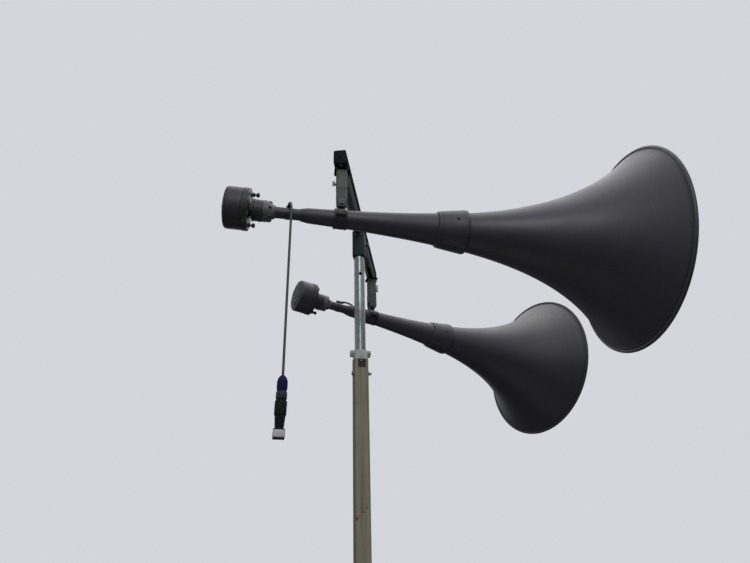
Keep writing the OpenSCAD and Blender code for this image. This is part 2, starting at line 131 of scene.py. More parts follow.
# The backdrop's colours, and the heights between which one turns into the other
BACKDROP_LOW = (0.10, 0.10, 0.11)
BACKDROP_HIGH = (0.66, 0.67, 0.71)
HORIZON = (-0.16, -0.02)
# The dome's light along Z, X and Y: from one place to another, and its level at both
DOME_UP = (-0.20, 0.90, 0.07, 1.38)
DOME_RIGHT = (-1.0, 1.0, 0.45, 0.85)
DOME_BACK = (-1.0, 1.0, 1.9, 0.8)
DOME_COLOUR = (0.96, 0.98, 1.0, 1.0)
LAMP_AIM = (0.2, 0.0, 2.3)
Lamp = namedtuple("Lamp", "name place size power")
LAMPS = (
    Lamp("soft_top", (1.2, 0.1, 6.3), 4.5, 104.0),
    Lamp("soft_back", (0.8, 3.2, 6.0), 3.5, 40.0),
    Lamp("soft_front", (-0.8, -4.9, 5.0), 1.5, 90.0),
)

# Colours of wear and of what has no paint, and of the painted shade round drilled holes
FADED = (0.75, 0.75, 0.72)
STREAKED = (0.42, 0.40, 0.38)
DUST = (0.30, 0.29, 0.26)
RUST_CHIP = (0.10, 0.045, 0.022)
HANGER_CHIP = (0.060, 0.048, 0.040)
RUST_RUN = (0.045, 0.032, 0.020)
ZINC_STAIN = (0.12, 0.11, 0.09)
# Painted shade round the drilled holes of the sliding tube
HOLE_SHADE = (0.008, 0.008, 0.009)
BARE_RUST = (0.008, 0.007, 0.005)
RUST_PATCH = (0.026, 0.018, 0.010)
RUST_GRAIN = (0.020, 0.017, 0.014)
NEAR_BLACK = (0.006, 0.006, 0.009)

# The routes of both leads, from the gland to the connector
NEAR_ROUTE = [
    (-0.373, -0.464, 2.829), (-0.372, -0.478, 2.826), (-0.370, -0.490, 2.818),
    (-0.369, -0.499, 2.805), (-0.368, -0.502, 2.790), (-0.368, -0.502, 2.760),
    (-0.368, -0.502, 2.700), (-0.368, -0.502, 2.640), (-0.368, -0.502, 2.580),
    (-0.368, -0.502, 2.510), (-0.368, -0.502, 2.440), (-0.368, -0.502, 2.370),
    (-0.368, -0.502, 2.290), (-0.368, -0.502, 2.210), (-0.368, -0.502, 2.130),
    (-0.368, -0.502, 2.046),
]
FAR_ROUTE = [
    (-0.014, 0.421, 2.834), (-0.002, 0.425, 2.838), (0.012, 0.428, 2.841),
    (0.028, 0.434, 2.841), (0.046, 0.443, 2.839), (0.063, 0.456, 2.834),
    (0.079, 0.473, 2.825), (0.092, 0.488, 2.812), (0.102, 0.498, 2.795),
    (0.109, 0.502, 2.775), (0.113, 0.504, 2.749), (0.115, 0.505, 2.713),
    (0.115, 0.505, 2.650), (0.115, 0.505, 2.580), (0.115, 0.505, 2.500),
    (0.115, 0.505, 2.420), (0.115, 0.505, 2.280), (0.115, 0.505, 2.151),
]

# What differs between the near and the far side
Side = namedtuple("Side", "name sign yaw tilt sleeve_yaw screw_turn wing_length wing_shift"
                          " gland_turn tag_turn route")
NEAR = Side(
    name="near", sign=-1, yaw=math.radians(-6.2), tilt=math.radians(-3.8),
    sleeve_yaw=math.radians(-7), screw_turn=math.pi, wing_length=0.023, wing_shift=-0.003,
    gland_turn=math.radians(-73), tag_turn=0.0, route=NEAR_ROUTE)
FAR = Side(
    name="far", sign=1, yaw=math.radians(15.3), tilt=math.radians(-5.8),
    sleeve_yaw=math.radians(2), screw_turn=0.0, wing_length=0.044, wing_shift=-0.014,
    gland_turn=0.0, tag_turn=0.4, route=FAR_ROUTE)
SIDES = (NEAR, FAR)


# Sizes and colours that a user may change

class MastSizes(bpy.types.PropertyGroup):
    """Sizes of the mast's edges, welds and bolts"""
    edge_round: FloatProperty(
        name="Edge rounding", description="Usual width of the rounding on machined edges",
        default=0.001, min=0.0001, unit="LENGTH")
    weld_radius: FloatProperty(
        name="Weld bead", description="Radius of the weld beads at the base",
        default=0.0035, min=0.001, unit="LENGTH")
    bolt_size: FloatProperty(
        name="Bolt size", description="Shank diameter of the bolts on the socket and the clamp",
        default=0.006, min=0.003, unit="LENGTH")


class HornSizes(bpy.types.PropertyGroup):
    """Sizes of both horns"""
    throat_radius: FloatProperty(
        name="Throat radius", description="Outer radius of the flare at its throat",
        default=0.0222, unit="LENGTH")
    flare_rate: FloatProperty(
        name="Flare rate", description="First rate of the flare, for each metre", default=1.335)
    flare_gain: FloatProperty(
        name="Flare gain", description="Growth of the rate, for each square metre",
        default=0.518)
    shell_wall: FloatProperty(
        name="Shell wall", description="Thickness of the horn's shell",
        default=0.004, unit="LENGTH")
    bead_radius: FloatProperty(
        name="Edge bead", description="Radius of the bead round the mouth",
        default=0.0076, unit="LENGTH")
    turn_steps: IntProperty(
        name="Turn steps", description="Facets round each horn", default=144, min=24)


class LeadSizes(bpy.types.PropertyGroup):
    """Sizes of the leads and their connectors"""
    lead_diameter: FloatProperty(
        name="Lead diameter", description="Diameter of each hanging lead",
        default=0.009, unit="LENGTH")
    lead_length: FloatProperty(
        name="Lead length", description="Length of each lead, with 95 mm of it in its connector",
        default=0.804, unit="LENGTH")
    ferrule_radius: FloatProperty(
        name="Ferrule radius", description="Largest radius of the connector's ferrule",
        default=0.017, unit="LENGTH")


def colour_property(name, description, default):
    """A colour that a user may change."""
    return FloatVectorProperty(
        name=name, description=description, default=default, size=3,
        subtype="COLOR", min=0.0, max=1.0)


class FinishColours(bpy.types.PropertyGroup):
    """Colours of the paints, plastics and metals"""
    olive_paint: colour_property("Olive paint", "Paint of the post", (0.158, 0.150, 0.108))
    slate_paint: colour_property("Slate paint", "Paint of the crossbeam", (0.012, 0.013, 0.018))
    channel_grey: colour_property("Channel grey", "Inside and underside of the crossbeam",
                                  (0.300, 0.300, 0.290))
    socket_paint: colour_property("Socket paint", "Paint of the socket", (0.024, 0.030, 0.034))
    hanger_paint: colour_property("Hanger paint", "Paint of the sleeves", (0.072, 0.077, 0.068))
    fork_paint: colour_property("Fork paint", "Paint of the clevises", (0.016, 0.018, 0.019))
    clamp_paint: colour_property("Clamp paint", "Paint of the clamp ring", (0.250, 0.262, 0.245))
    band_paint: colour_property("Band paint", "Paint of the horn bands", (0.012, 0.012, 0.015))
    horn_shell: colour_property("Horn shell", "Colour of the horns", (0.020, 0.018, 0.027))
    driver_paint: colour_property("Driver paint", "Paint of the pots", (0.021, 0.020, 0.028))
    flange_paint: colour_property("Flange paint", "Paint of the pots' flanges and blocks' bolts",
                                  (0.017, 0.017, 0.014))
    adapter_paint: colour_property("Adapter paint", "Paint of the adapters",
                                   (0.020, 0.021, 0.023))
    block_paint: colour_property("Block paint", "Paint of the throat blocks",
                                 (0.070, 0.070, 0.064))
    ferrule_blue: colour_property("Ferrule blue", "Colour of the ferrules",
                                  (0.004, 0.006, 0.040))
    lead_grey: colour_property("Lead grey", "Colour of the leads", (0.030, 0.031, 0.033))
    zinc: colour_property("Zinc", "Colour of the galvanised tube", (0.190, 0.210, 0.210))


# Places

def shift(x=0.0, y=0.0, z=0.0):
    return Matrix.Translation((x, y, z))


def turn(axis, degrees):
    return Matrix.Rotation(math.radians(degrees), 4, axis)


def evenly(count, start=0):
    """Turns about local Z that spread details evenly, from a start in degrees."""
    return [turn("Z", start + 360 * i / count) for i in range(count)]


def hanger_place(side, yaw, height):
    """A place under one end of the beam, turned about the vertical."""
    reach = side.sign * HANGER_REACH
    spot = shift(reach * math.sin(BEAM_TURN), reach * math.cos(BEAM_TURN), height)
    return spot @ Matrix.Rotation(yaw, 4, "Z")


def pivot_place(side):
    """The middle of the clevis bolt that a horn tilts on."""
    return hanger_place(side, side.yaw, PIVOT_Z)


def horn_place(side):
    """The horn's axis runs along local Z towards the mouth, with up at local -X."""
    return (pivot_place(side) @ Matrix.Rotation(-side.tilt, 4, "Y") @ shift(z=-AXIS_DROP)
            @ turn("Y", 90))


def beam_place():
    """The beam runs along local X, with the outside of its slot at local -Z."""
    return (Matrix.Rotation(math.pi / 2 - BEAM_TURN, 4, "Z")
            @ shift(z=BEAM_Z + BEAM_HEIGHT / 2))


def flare_radius(station):
    """Outer radius of the bare flare at a station along its axis."""
    sizes = bpy.context.scene.horn_sizes
    run = station - THROAT
    return sizes.throat_radius * math.exp(sizes.flare_rate * run + sizes.flare_gain * run * run)


def flare_line(start, end, count, grow=0.0):
    """Outline points along the flare, moved outwards by grow."""
    stations = [start + (end - start) * i / count for i in range(count + 1)]
    return [(flare_radius(z) + grow, z) for z in stations]


# Shaping

def add_to(bm, part, place, index):
    """Puts a finished part in its place and adds it to a piece, in one of its materials."""
    bmesh.ops.transform(part, matrix=place, verts=part.verts)
    for face in part.faces:
        face.material_index = index
    mesh = bpy.data.meshes.new("part")
    part.to_mesh(mesh)
    part.free()
    bm.from_mesh(mesh)
    bpy.data.meshes.remove(mesh)


def lathe(bm, outline, steps, closed=False, place=Matrix.Identity(4), index=0):
    """Spins an outline of (radius, height) points about local Z."""
    part = bmesh.new()
    verts = [part.verts.new((r, 0, z)) for r, z in outline]
    edges = [part.edges.new(pair) for pair in zip(verts, verts[1:])]
    if closed:
        edges.append(part.edges.new((verts[-1], verts[0])))
    bmesh.ops.spin(
        part, geom=verts + edges, cent=(0, 0, 0), axis=(0, 0, 1), dvec=(0, 0, 0),
        angle=2 * math.pi, steps=steps, use_merge=True)
    bmesh.ops.remove_doubles(part, verts=part.verts, dist=MERGE)
    add_to(bm, part, place, index)


def rod(bm, radius, start, end, place, steps, rounding, index=0):
    """A round bar with rounded rims, from start up to end."""
    r, c = radius, min(rounding, radius * 0.45, (end - start) * 0.45)
    k = c * 0.3
    outline = [(0, start), (r - c, start), (r - k, start + k), (r, start + c),
               (r, end - c), (r - k, end - k), (r - c, end), (0, end)]
    lathe(bm, outline, steps, place=place, index=index)


def ring(bm, inner, outer, start, end, place=Matrix.Identity(4), steps=48, rounding=0.0006,
         index=0):
    """A flat ring with chamfered rims, from start up to end."""
    c = rounding
    outline = [(inner, start + c), (inner + c, start), (outer - c, start), (outer, start + c),
               (outer, end - c), (outer - c, end), (inner + c, end), (inner, end - c)]
    lathe(bm, outline, steps, closed=True, place=place, index=index)


def block(bm, size, place, rounding, segments, index=0):
    """A rectangular block with rounded edges, centred on its place."""
    part = bmesh.new()
    bmesh.ops.create_cube(part, size=1.0, matrix=Matrix.Diagonal((*size, 1.0)))
    bmesh.ops.bevel(
        part, geom=part.edges[:], offset=rounding, segments=segments, profile=0.5,
        affect="EDGES", material=-1, clamp_overlap=True)
    add_to(bm, part, place, index)


def hexagon(bm, across, height, place, index=0):
    """A hexagon head or nut that stands on its place."""
    part = bmesh.new()
    radius = across / math.sqrt(3)
    bmesh.ops.create_cone(
        part, cap_ends=True, cap_tris=False, segments=6, radius1=radius, radius2=radius,
        depth=height, matrix=shift(z=height / 2))
    bmesh.ops.bevel(
        part, geom=part.edges[:], offset=min(0.0008, height * 0.2), segments=2, profile=0.5,
        affect="EDGES", material=-1, clamp_overlap=True)
    add_to(bm, part, place, index)


def bolt(bm, place, size=None, index=0):
    """A washer and a hexagon head, standing on the surface."""
    size = size or bpy.context.scene.mast_sizes.bolt_size
    washer = size * 0.22
    rod(bm, size * 1.05, -0.0005, washer, place, 24, 0.0003, index)
    hexagon(bm, size * 1.65, size * 0.65, place @ shift(z=washer - 0.0002), index)


def dome(bm, radius, height, place, steps=20, index=0):
    """A round button head."""
    outline = [(radius, -0.001), (radius, height * 0.25)]
    for i in range(1, 6):
        a = math.pi / 2 * i / 5
        outline.append((radius * math.cos(a), height * (0.25 + 0.75 * math.sin(a))))
    lathe(bm, [(0, -0.001), *outline], steps, place=place, index=index)


def socket_screw(bm, radius, height, place, index):
    """A cylinder head screw with a hexagon recess."""
    h, r = height, radius
    outline = [(0, -0.001), (r, -0.001), (r, h * 0.85), (r * 0.88, h), (r * 0.52, h),
               (r * 0.46, h * 0.45), (0, h * 0.45)]
    lathe(bm, outline, 24, place=place, index=index)


def path_frames(points):
    """A turning frame at each point of a path, with local Z along it."""
    frames = []
    side_way = None
    for i, point in enumerate(points):
        ahead = points[min(i + 1, len(points) - 1)]
        behind = points[max(i - 1, 0)]
        along = (ahead - behind).normalized()
        if side_way is None:
            side_way = along.orthogonal().normalized()
        side_way = (side_way - along * side_way.dot(along)).normalized()
        up = along.cross(side_way)
        place = Matrix((side_way, up, along)).transposed().to_4x4()
        place.translation = point
        frames.append(place)
    return frames


def hose(bm, points, radii, sides):
    """A closed tube along points, with a radius for each."""
    part = bmesh.new()
    loops = []
    for place, radius in zip(path_frames(points), radii):
        made = bmesh.ops.create_circle(
            part, cap_ends=False, segments=sides, radius=radius, matrix=place)
        loops.append(list({e for v in made["verts"] for e in v.link_edges}))
    for first, second in zip(loops, loops[1:]):
        bmesh.ops.bridge_loops(part, edges=first + second)
    bmesh.ops.holes_fill(part, edges=loops[0] + loops[-1])
    add_to(bm, part, Matrix.Identity(4), 0)


def weld(bm, start, end, radius):
    """A rippled bead between two points."""
    start, end = Vector(start), Vector(end)
    count = max(4, int((end - start).length / 0.0025))
    points = [start.lerp(end, i / count) for i in range(count + 1)]
    radii = [radius * (0.88 + 0.12 * math.sin(i * 2.1) + 0.05 * math.sin(i * 0.73))
             for i in range(count + 1)]
    radii[0] = radii[-1] = radius * 0.45
    hose(bm, points, radii, 8)


def softened(node, width=None, segments=2):
    """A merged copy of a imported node's mesh, with its sharp edges rounded."""
    width = width or bpy.context.scene.mast_sizes.edge_round
    bm = bmesh.new()
    bm.from_mesh(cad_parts[node].data)
    bmesh.ops.remove_doubles(bm, verts=bm.verts, dist=NODE_MERGE)
    bmesh.ops.dissolve_limit(
        bm, angle_limit=FLAT_EDGE, use_dissolve_boundaries=False,
        verts=bm.verts, edges=bm.edges)
    edges = [e for e in bm.edges
             if len(e.link_faces) == 2 and e.calc_face_angle(0) > SHARP_EDGE]
    bmesh.ops.bevel(
        bm, geom=edges, offset=width, segments=segments, profile=0.5, affect="EDGES",
        material=-1, clamp_overlap=True)
    return bm


def finish_piece(bm, name, body, materials, node=None, place=None, sharp=32):
    """Makes the object of a finished mesh, at the origin, and hides the node it replaces."""
    if place is not None:
        bmesh.ops.transform(bm, matrix=place, verts=bm.verts)
    bmesh.ops.remove_doubles(bm, verts=bm.verts, dist=MERGE)
    bmesh.ops.recalc_face_normals(bm, faces=bm.faces)
    for face in bm.faces:
        face.smooth = True
    mesh = bpy.data.meshes.new(name)
    bm.to_mesh(mesh)
    bm.free()
    mesh.set_sharp_from_angle(angle=math.radians(sharp))
    for material in materials:
        mesh.materials.append(finish(material))
    piece = bpy.data.objects.new(name, mesh)
    bpy.context.scene.collection.objects.link(piece)
    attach(piece, body)
    if node:
        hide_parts(node)
    return piece


def finish_horn_part(bm, side, name, materials, node=None, place=None, sharp=32):
    """Finishes a part that rides on one side's horn and may replace one of its nodes."""
    return finish_piece(
        bm, f"{side.name}_{name}", f"{side.name}_horn", materials,
        f"{side.name}_{node}" if node else None, place, sharp)


def dress_node(node, material):
    """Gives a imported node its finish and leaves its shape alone."""
    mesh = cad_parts[node].data
    mesh.materials.clear()
    mesh.materials.append(finish(material))


# Finishes

class Tree:
    """Short calls for adding and linking shader nodes."""

    def __init__(self, tree):
        self.tree = tree

    def add(self, kind, inputs=None, **settings):
        """A node with its settings, and its inputs as values or links."""
        node = self.tree.nodes.new(kind)
        for key, value in settings.items():
            setattr(node, key, value)
        for key, value in (inputs or {}).items():
            socket = node.inputs[key]
            if isinstance(value, bpy.types.NodeSocket):
                self.link(value, socket)
            else:
                socket.default_value = value
        return node

    def link(self, value, socket):
        self.tree.links.new(value, socket)

    def noise(self, coords, scale, detail=3.0, rough=0.55):
        return self.add("ShaderNodeTexNoise", {
            "Vector": coords, "Scale": scale, "Detail": detail, "Roughness": rough}).outputs[0]

    def stretch(self, coords, scale):
        return self.add("ShaderNodeMapping", {"Vector": coords, "Scale": scale}).outputs[0]

    def between(self, value, low, high, to_low=0.0, to_high=1.0):
        """A value moved from one range into another, and held inside it."""
        return self.add("ShaderNodeMapRange", {
            "Value": value, "From Min": low, "From Max": high,
            "To Min": to_low, "To Max": to_high}).outputs[0]

    def maths(self, operation, first, second, clamp=False):
        """A sum, difference or product of two values."""
        return self.add(
            "ShaderNodeMath", {0: first, 1: second}, operation=operation,
            use_clamp=clamp).outputs[0]

    def reach(self, coords, scale, shift_by):
        """Distance from a line or point, by scaling and shifting the coordinates."""
        moved = self.add("ShaderNodeVectorMath", {0: coords, 1: scale, 2: shift_by},
                         operation="MULTIPLY_ADD").outputs[0]
        return self.add("ShaderNodeVectorMath", {0: moved}, operation="LENGTH").outputs["Value"]

    def mix(self, factor, first, second, blend="MIX"):
        """Two colours mixed, by the Mix node's factor and its colour sockets."""
        def full(value):
            return value if isinstance(value, bpy.types.NodeSocket) else (*value, 1.0)
        node = self.add("ShaderNodeMix", {
            0: factor, 6: full(first), 7: full(second)}, data_type="RGBA", blend_type=blend)
        return node.outputs[2]


def new_group(name, inputs, outputs):
    """An empty node group with named sockets, and its two end nodes."""
    group = bpy.data.node_groups.new(name, "ShaderNodeTree")
    for label, kind, default in inputs:
        socket = group.interface.new_socket(label, in_out="INPUT", socket_type=kind)
        if default is not None:
            socket.default_value = default
    for label, kind in outputs:
        group.interface.new_socket(label, in_out="OUTPUT", socket_type=kind)
    start = group.nodes.new("NodeGroupInput")
    end = group.nodes.new("NodeGroupOutput")
    return group, Tree(group), start.outputs, end.inputs


def weathered_paint_group():
    """Cloudy fading, rain streaks and settled dust over one paint colour."""
    name = "Weathered paint"
    if name in bpy.data.node_groups:
        return bpy.data.node_groups[name]
    group, tree, given, out = new_group(name, [
        ("Vector", "NodeSocketVector", None),
        ("Colour", "NodeSocketColor", (0.1, 0.1, 0.1, 1)),
        ("Fading", "NodeSocketFloat", 0.3),
        ("Streaks", "NodeSocketFloat", 0.3),
        ("Dust", "NodeSocketFloat", 0.2),
        ("Cloud Scale", "NodeSocketFloat", 9.0),
        ("Roughness", "NodeSocketFloat", 0.5),
    ], [("Colour", "NodeSocketColor"), ("Roughness", "NodeSocketFloat")])
    cloud = tree.noise(given["Vector"], given["Cloud Scale"], 5.0)
    cloud = tree.between(cloud, 0.35, 0.68)
    light = tree.mix(0.55, given["Colour"], FADED, "SOFT_LIGHT")
    faded = tree.mix(tree.maths("MULTIPLY", cloud, given["Fading"]), given["Colour"], light)
    run = tree.stretch(given["Vector"], (90, 90, 2.2))
    streak = tree.between(tree.noise(run, 1.0, 4.0), 0.52, 0.72)
    streak = tree.maths("MULTIPLY", streak, given["Streaks"])
    dark = tree.mix(1.0, faded, STREAKED, "MULTIPLY")
    streaked = tree.mix(streak, faded, dark)
    geometry = tree.add("ShaderNodeNewGeometry")
    facing = tree.add("ShaderNodeSeparateXYZ", {0: geometry.outputs["Normal"]}).outputs["Z"]
    settled = tree.maths("MULTIPLY", tree.between(facing, 0.35, 0.95), given["Dust"])
    patchy = tree.between(tree.noise(given["Vector"], 38.0, 6.0), 0.3, 0.7, 0.45, 1.0)
    settled = tree.maths("MULTIPLY", settled, patchy)
    dusty = tree.mix(settled, streaked, DUST)
    tree.link(dusty, out["Colour"])
    rough = tree.maths("ADD", given["Roughness"], tree.between(cloud, 0, 1, -0.05, 0.08))
    rough = tree.maths("ADD", rough, tree.maths("MULTIPLY", settled, 0.4), clamp=True)
    tree.link(rough, out["Roughness"])
    return group


def chips_group():
    """Small spots where the paint has gone, as a mask."""
    name = "Chipped spots"
    if name in bpy.data.node_groups:
        return bpy.data.node_groups[name]
    group, tree, given, out = new_group(name, [
        ("Vector", "NodeSocketVector", None),
        ("Scale", "NodeSocketFloat", 60.0),
        ("Amount", "NodeSocketFloat", 0.3),
    ], [("Mask", "NodeSocketFloat")])
    spots = tree.noise(given["Vector"], given["Scale"], 6.0, 0.65)
    where = tree.noise(given["Vector"], tree.maths("MULTIPLY", given["Scale"], 0.12), 2.0)
    both = tree.maths("MULTIPLY", spots, tree.between(where, 0.35, 0.75, 0.6, 1.25))
    limit = tree.maths("SUBTRACT", 0.72, tree.maths("MULTIPLY", given["Amount"], 0.2))
    mask = tree.maths("MULTIPLY", tree.maths("SUBTRACT", both, limit), 26.0, clamp=True)
    tree.link(mask, out["Mask"])
    return group


def fine_texture_group():
    """Orange peel and shallow dents, as a height."""
    name = "Sprayed texture"
    if name in bpy.data.node_groups:
        return bpy.data.node_groups[name]
    group, tree, given, out = new_group(name, [
        ("Vector", "NodeSocketVector", None),
        ("Peel Scale", "NodeSocketFloat", 420.0),
        ("Peel", "NodeSocketFloat", 0.5),
        ("Dents", "NodeSocketFloat", 0.3),
    ], [("Height", "NodeSocketFloat")])
    peel = tree.maths("MULTIPLY", tree.noise(given["Vector"], given["Peel Scale"], 2.0),
                      given["Peel"])
    dents = tree.maths("MULTIPLY", tree.noise(given["Vector"], 24.0, 2.0), given["Dents"])
    tree.link(tree.maths("ADD", peel, dents), out["Height"])
    return group


def new_material(name):
    """A material with its shader, and the piece's own coordinates."""
    material = bpy.data.materials.new(name)
    material.use_nodes = True
    tree = Tree(material.node_tree)
    shader = material.node_tree.nodes["Principled BSDF"]
    coords = tree.add("ShaderNodeTexCoord").outputs["Object"]
    return material, tree, shader, coords


def group_call(tree, group, inputs):
    """A shared effect placed in a material with its own values."""
    return tree.add("ShaderNodeGroup", inputs, node_tree=group).outputs


def wire(tree, shader, colour, rough, height, strength, depth):
    """Gives the shader a colour and a roughness, and a bump from a height."""
    bump = tree.add("ShaderNodeBump", {
        "Strength": strength, "Distance": depth, "Height": height}).outputs[0]
    for value, name in ((colour, "Base Color"), (rough, "Roughness"), (bump, "Normal")):
        tree.link(value, shader.inputs[name])


def painted(name, colour, rough=0.5, fading=0.3, streaks=0.3, dust=0.2, cloud=9.0,
            chips=0.25, chip_scale=60.0, under=RUST_CHIP, peel=0.5, dents=0.3,
            bump=0.15, specular=0.5, runs=None):
    """A weathered paint, with chips down to what lies under it."""
    material, tree, shader, coords = new_material(name)
    paint = group_call(tree, weathered_paint_group(), {
        "Vector": coords, "Colour": (*colour, 1.0), "Fading": fading, "Streaks": streaks,
        "Dust": dust, "Cloud Scale": cloud, "Roughness": rough})
    chipped = group_call(tree, chips_group(), {
        "Vector": coords, "Scale": chip_scale, "Amount": chips})["Mask"]
    base = paint["Colour"]
    if runs:
        height = tree.add("ShaderNodeSeparateXYZ", {0: coords}).outputs["Z"]
        run = tree.between(tree.noise(tree.stretch(coords, (150, 150, 3)), 1.0, 4.0), 0.46, 0.62)
        run = tree.maths("MULTIPLY", run, tree.between(height, *runs))
        base = tree.mix(tree.maths("MULTIPLY", run, 0.65), base, RUST_RUN)
    base = tree.mix(chipped, base, under)
    matt = tree.maths("ADD", paint["Roughness"], tree.maths("MULTIPLY", chipped, 0.3),
                      clamp=True)
    height = group_call(tree, fine_texture_group(), {
        "Vector": coords, "Peel": peel, "Dents": dents})["Height"]
    height = tree.maths("SUBTRACT", height, tree.maths("MULTIPLY", chipped, 0.6))
    wire(tree, shader, base, matt, height, bump, 0.001)
    shader.inputs["Specular IOR Level"].default_value = specular
    return material


def galvanised(name, colour, metallic=0.55, rough=(0.62, 0.42), holes=()):
    """Dull zinc with a faint spangle and long streaks, with painted shade round drilled holes.
    """
    material, tree, shader, coords = new_material(name)
    cells = tree.add("ShaderNodeTexVoronoi", {"Vector": coords, "Scale": 85.0})
    spangle = tree.between(
        tree.add("ShaderNodeSeparateColor", {0: cells.outputs["Color"]}).outputs[0],
        0, 1, -0.10, 0.10)
    run = tree.between(tree.noise(tree.stretch(coords, (70, 70, 1.6)), 1.0, 5.0),
                       0.30, 0.72, 0.72, 1.12)
    tone = tree.maths("ADD", run, spangle)
    tint = tree.add("ShaderNodeCombineColor", {0: tone, 1: tone, 2: tone}).outputs[0]
    base = tree.mix(1.0, colour, tint, "MULTIPLY")
    stain = tree.between(tree.noise(coords, 14.0, 6.0), 0.60, 0.72)
    base = tree.mix(tree.maths("MULTIPLY", stain, 0.45), base, ZINC_STAIN)
    # Painted shade: a dark ring round each drilled hole, which widens its dark spot
    for height in holes:
        for across in ((1, 0, 1), (0, 1, 1)):
            away = tree.reach(coords, across, (0, 0, -height))
            base = tree.mix(tree.between(away, *HOLE_SHADE_RADII), base, HOLE_SHADE)
    matt = tree.between(tone, 0.6, 1.2, *rough)
    wire(tree, shader, base, matt, tree.noise(coords, 260.0, 3.0), 0.12, 0.0008)
    shader.inputs["Metallic"].default_value = metallic
    return material


def rusted(name, colour):
    """Bare steel that has rusted through and through."""
    material, tree, shader, coords = new_material(name)
    patch = tree.between(tree.noise(coords, 45.0, 6.0, 0.65), 0.35, 0.65)
    base = tree.mix(patch, colour, RUST_PATCH)
    grain = tree.between(tree.noise(coords, 300.0, 3.0), 0.35, 0.7)
    base = tree.mix(tree.maths("MULTIPLY", grain, 0.4), base, RUST_GRAIN)
    matt = tree.between(patch, 0, 1, 0.70, 0.92)
    height = tree.maths("ADD", tree.noise(coords, 300.0, 4.0), patch)
    wire(tree, shader, base, matt, height, 0.5, 0.0010)
    return material


def moulded(name, colour, rough=0.5, scuff=0.3, bump=0.10, scale=500.0, specular=0.4):
    """Plastic or rubber with a fine grain and scuffs."""
    material, tree, shader, coords = new_material(name)
    worn = tree.between(tree.noise(coords, 70.0, 6.0, 0.65), 0.50, 0.72)
    worn = tree.maths("MULTIPLY", worn, scuff)
    lighter = tuple(min(1.0, c * 1.9 + 0.02) for c in colour)
    base = tree.mix(worn, colour, lighter)
    large = tree.between(tree.noise(coords, 12.0, 3.0), 0.35, 0.70)
    darker = tuple(c * 0.72 for c in colour)
    base = tree.mix(tree.maths("MULTIPLY", large, 0.45), base, darker)
    matt = tree.maths("ADD", rough, tree.maths("MULTIPLY", worn, 0.35), clamp=True)
    wire(tree, shader, base, matt, tree.noise(coords, scale, 2.0), bump, 0.0006)
    shader.inputs["Specular IOR Level"].default_value = specular
    return material


def finish_table():
    """What makes each finish: its maker, its colour and its settings."""
    colours = bpy.context.scene.finish_colours
    hanger = dict(rough=0.55, fading=0.40, streaks=0.50, dust=0.20, cloud=22.0, chip_scale=90.0)
    return {
        "olive_paint": (painted, colours.olive_paint, dict(
            rough=0.75, fading=0.55, streaks=0.55, dust=0.25, cloud=7.0, chips=0.45,
            chip_scale=75.0, dents=0.5, specular=0.04, runs=RUST_RUNS)),
        "slate_paint": (painted, colours.slate_paint, dict(
            rough=0.60, fading=0.30, streaks=0.25, dust=0.15, cloud=10.0, chips=0.20,
            specular=0.0)),
        "socket_paint": (painted, colours.socket_paint, dict(
            rough=0.60, fading=0.35, streaks=0.40, dust=0.15, cloud=12.0, chips=0.30,
            specular=0.05)),
        "channel_grey": (painted, colours.channel_grey, dict(
            rough=0.60, fading=0.45, streaks=0.50, dust=0.20, cloud=16.0, chips=0.40,
            chip_scale=90.0)),
        "hanger_paint": (painted, colours.hanger_paint, dict(
            hanger, chips=0.20, under=HANGER_CHIP, specular=0.25)),
        "fork_paint": (painted, colours.fork_paint, dict(hanger, chips=0.20, under=HANGER_CHIP)),
        "clamp_paint": (painted, colours.clamp_paint, dict(hanger, chips=0.35)),
        "band_paint": (painted, colours.band_paint, dict(
            rough=0.48, fading=0.30, streaks=0.20, dust=0.12, cloud=18.0, chips=0.10,
            specular=0.35)),
        "horn_shell": (painted, colours.horn_shell, dict(
            rough=0.50, fading=0.35, streaks=0.22, dust=0.28, cloud=3.5, chips=0.0,
            under=(0.035, 0.034, 0.040), peel=0.35, dents=0.5, bump=0.10, specular=0.40)),
        "driver_paint": (painted, colours.driver_paint, dict(
            rough=0.48, fading=0.35, streaks=0.18, dust=0.16, cloud=9.0, chips=0.12,
            chip_scale=90.0, under=(0.09, 0.09, 0.09), specular=0.32)),
        "flange_paint": (painted, colours.flange_paint, dict(
            rough=0.50, fading=0.50, streaks=0.30, dust=0.10, cloud=20.0, chips=0.20,
            chip_scale=90.0, under=(0.11, 0.11, 0.10), specular=0.35)),
        "adapter_paint": (painted, colours.adapter_paint, dict(
            rough=0.50, fading=0.35, streaks=0.20, dust=0.15, cloud=16.0, chips=0.15,
            specular=0.35)),
        "block_paint": (painted, colours.block_paint, dict(
            rough=0.55, fading=0.45, streaks=0.30, dust=0.25, cloud=20.0, chips=0.30)),
        "zinc": (galvanised, colours.zinc, dict(
            metallic=0.85, rough=(0.40, 0.26), holes=TUBE_HOLES)),
        "bolt_zinc": (galvanised, (0.20, 0.205, 0.21), {}),
        "dull_bolt": (galvanised, (0.075, 0.078, 0.082), {}),
        "tube_bore": (rusted, BARE_RUST, {}),
        "rusty_steel": (rusted, BARE_RUST, {}),
        "cap_black": (moulded, NEAR_BLACK, dict(rough=0.60, scuff=0.15, specular=0.06)),
        "dark_plastic": (moulded, (0.010, 0.010, 0.013), dict(rough=0.45)),
        "rim_rubber": (moulded, (0.024, 0.021, 0.028), dict(rough=0.45, bump=0.15, scale=300.0)),
        "lead_rubber": (moulded, colours.lead_grey, dict(rough=0.55, bump=0.12)),
        "ferrule_blue": (moulded, colours.ferrule_blue, dict(scuff=0.12, specular=0.08)),
        "coupler_black": (moulded, NEAR_BLACK, dict(scuff=0.15, specular=0.1)),
        "ring_grey": (moulded, (0.014, 0.015, 0.019), dict(scuff=0.25, specular=0.2)),
        "pale_label": (moulded, (0.34, 0.33, 0.33), dict(rough=0.60, scuff=0.10)),
    }


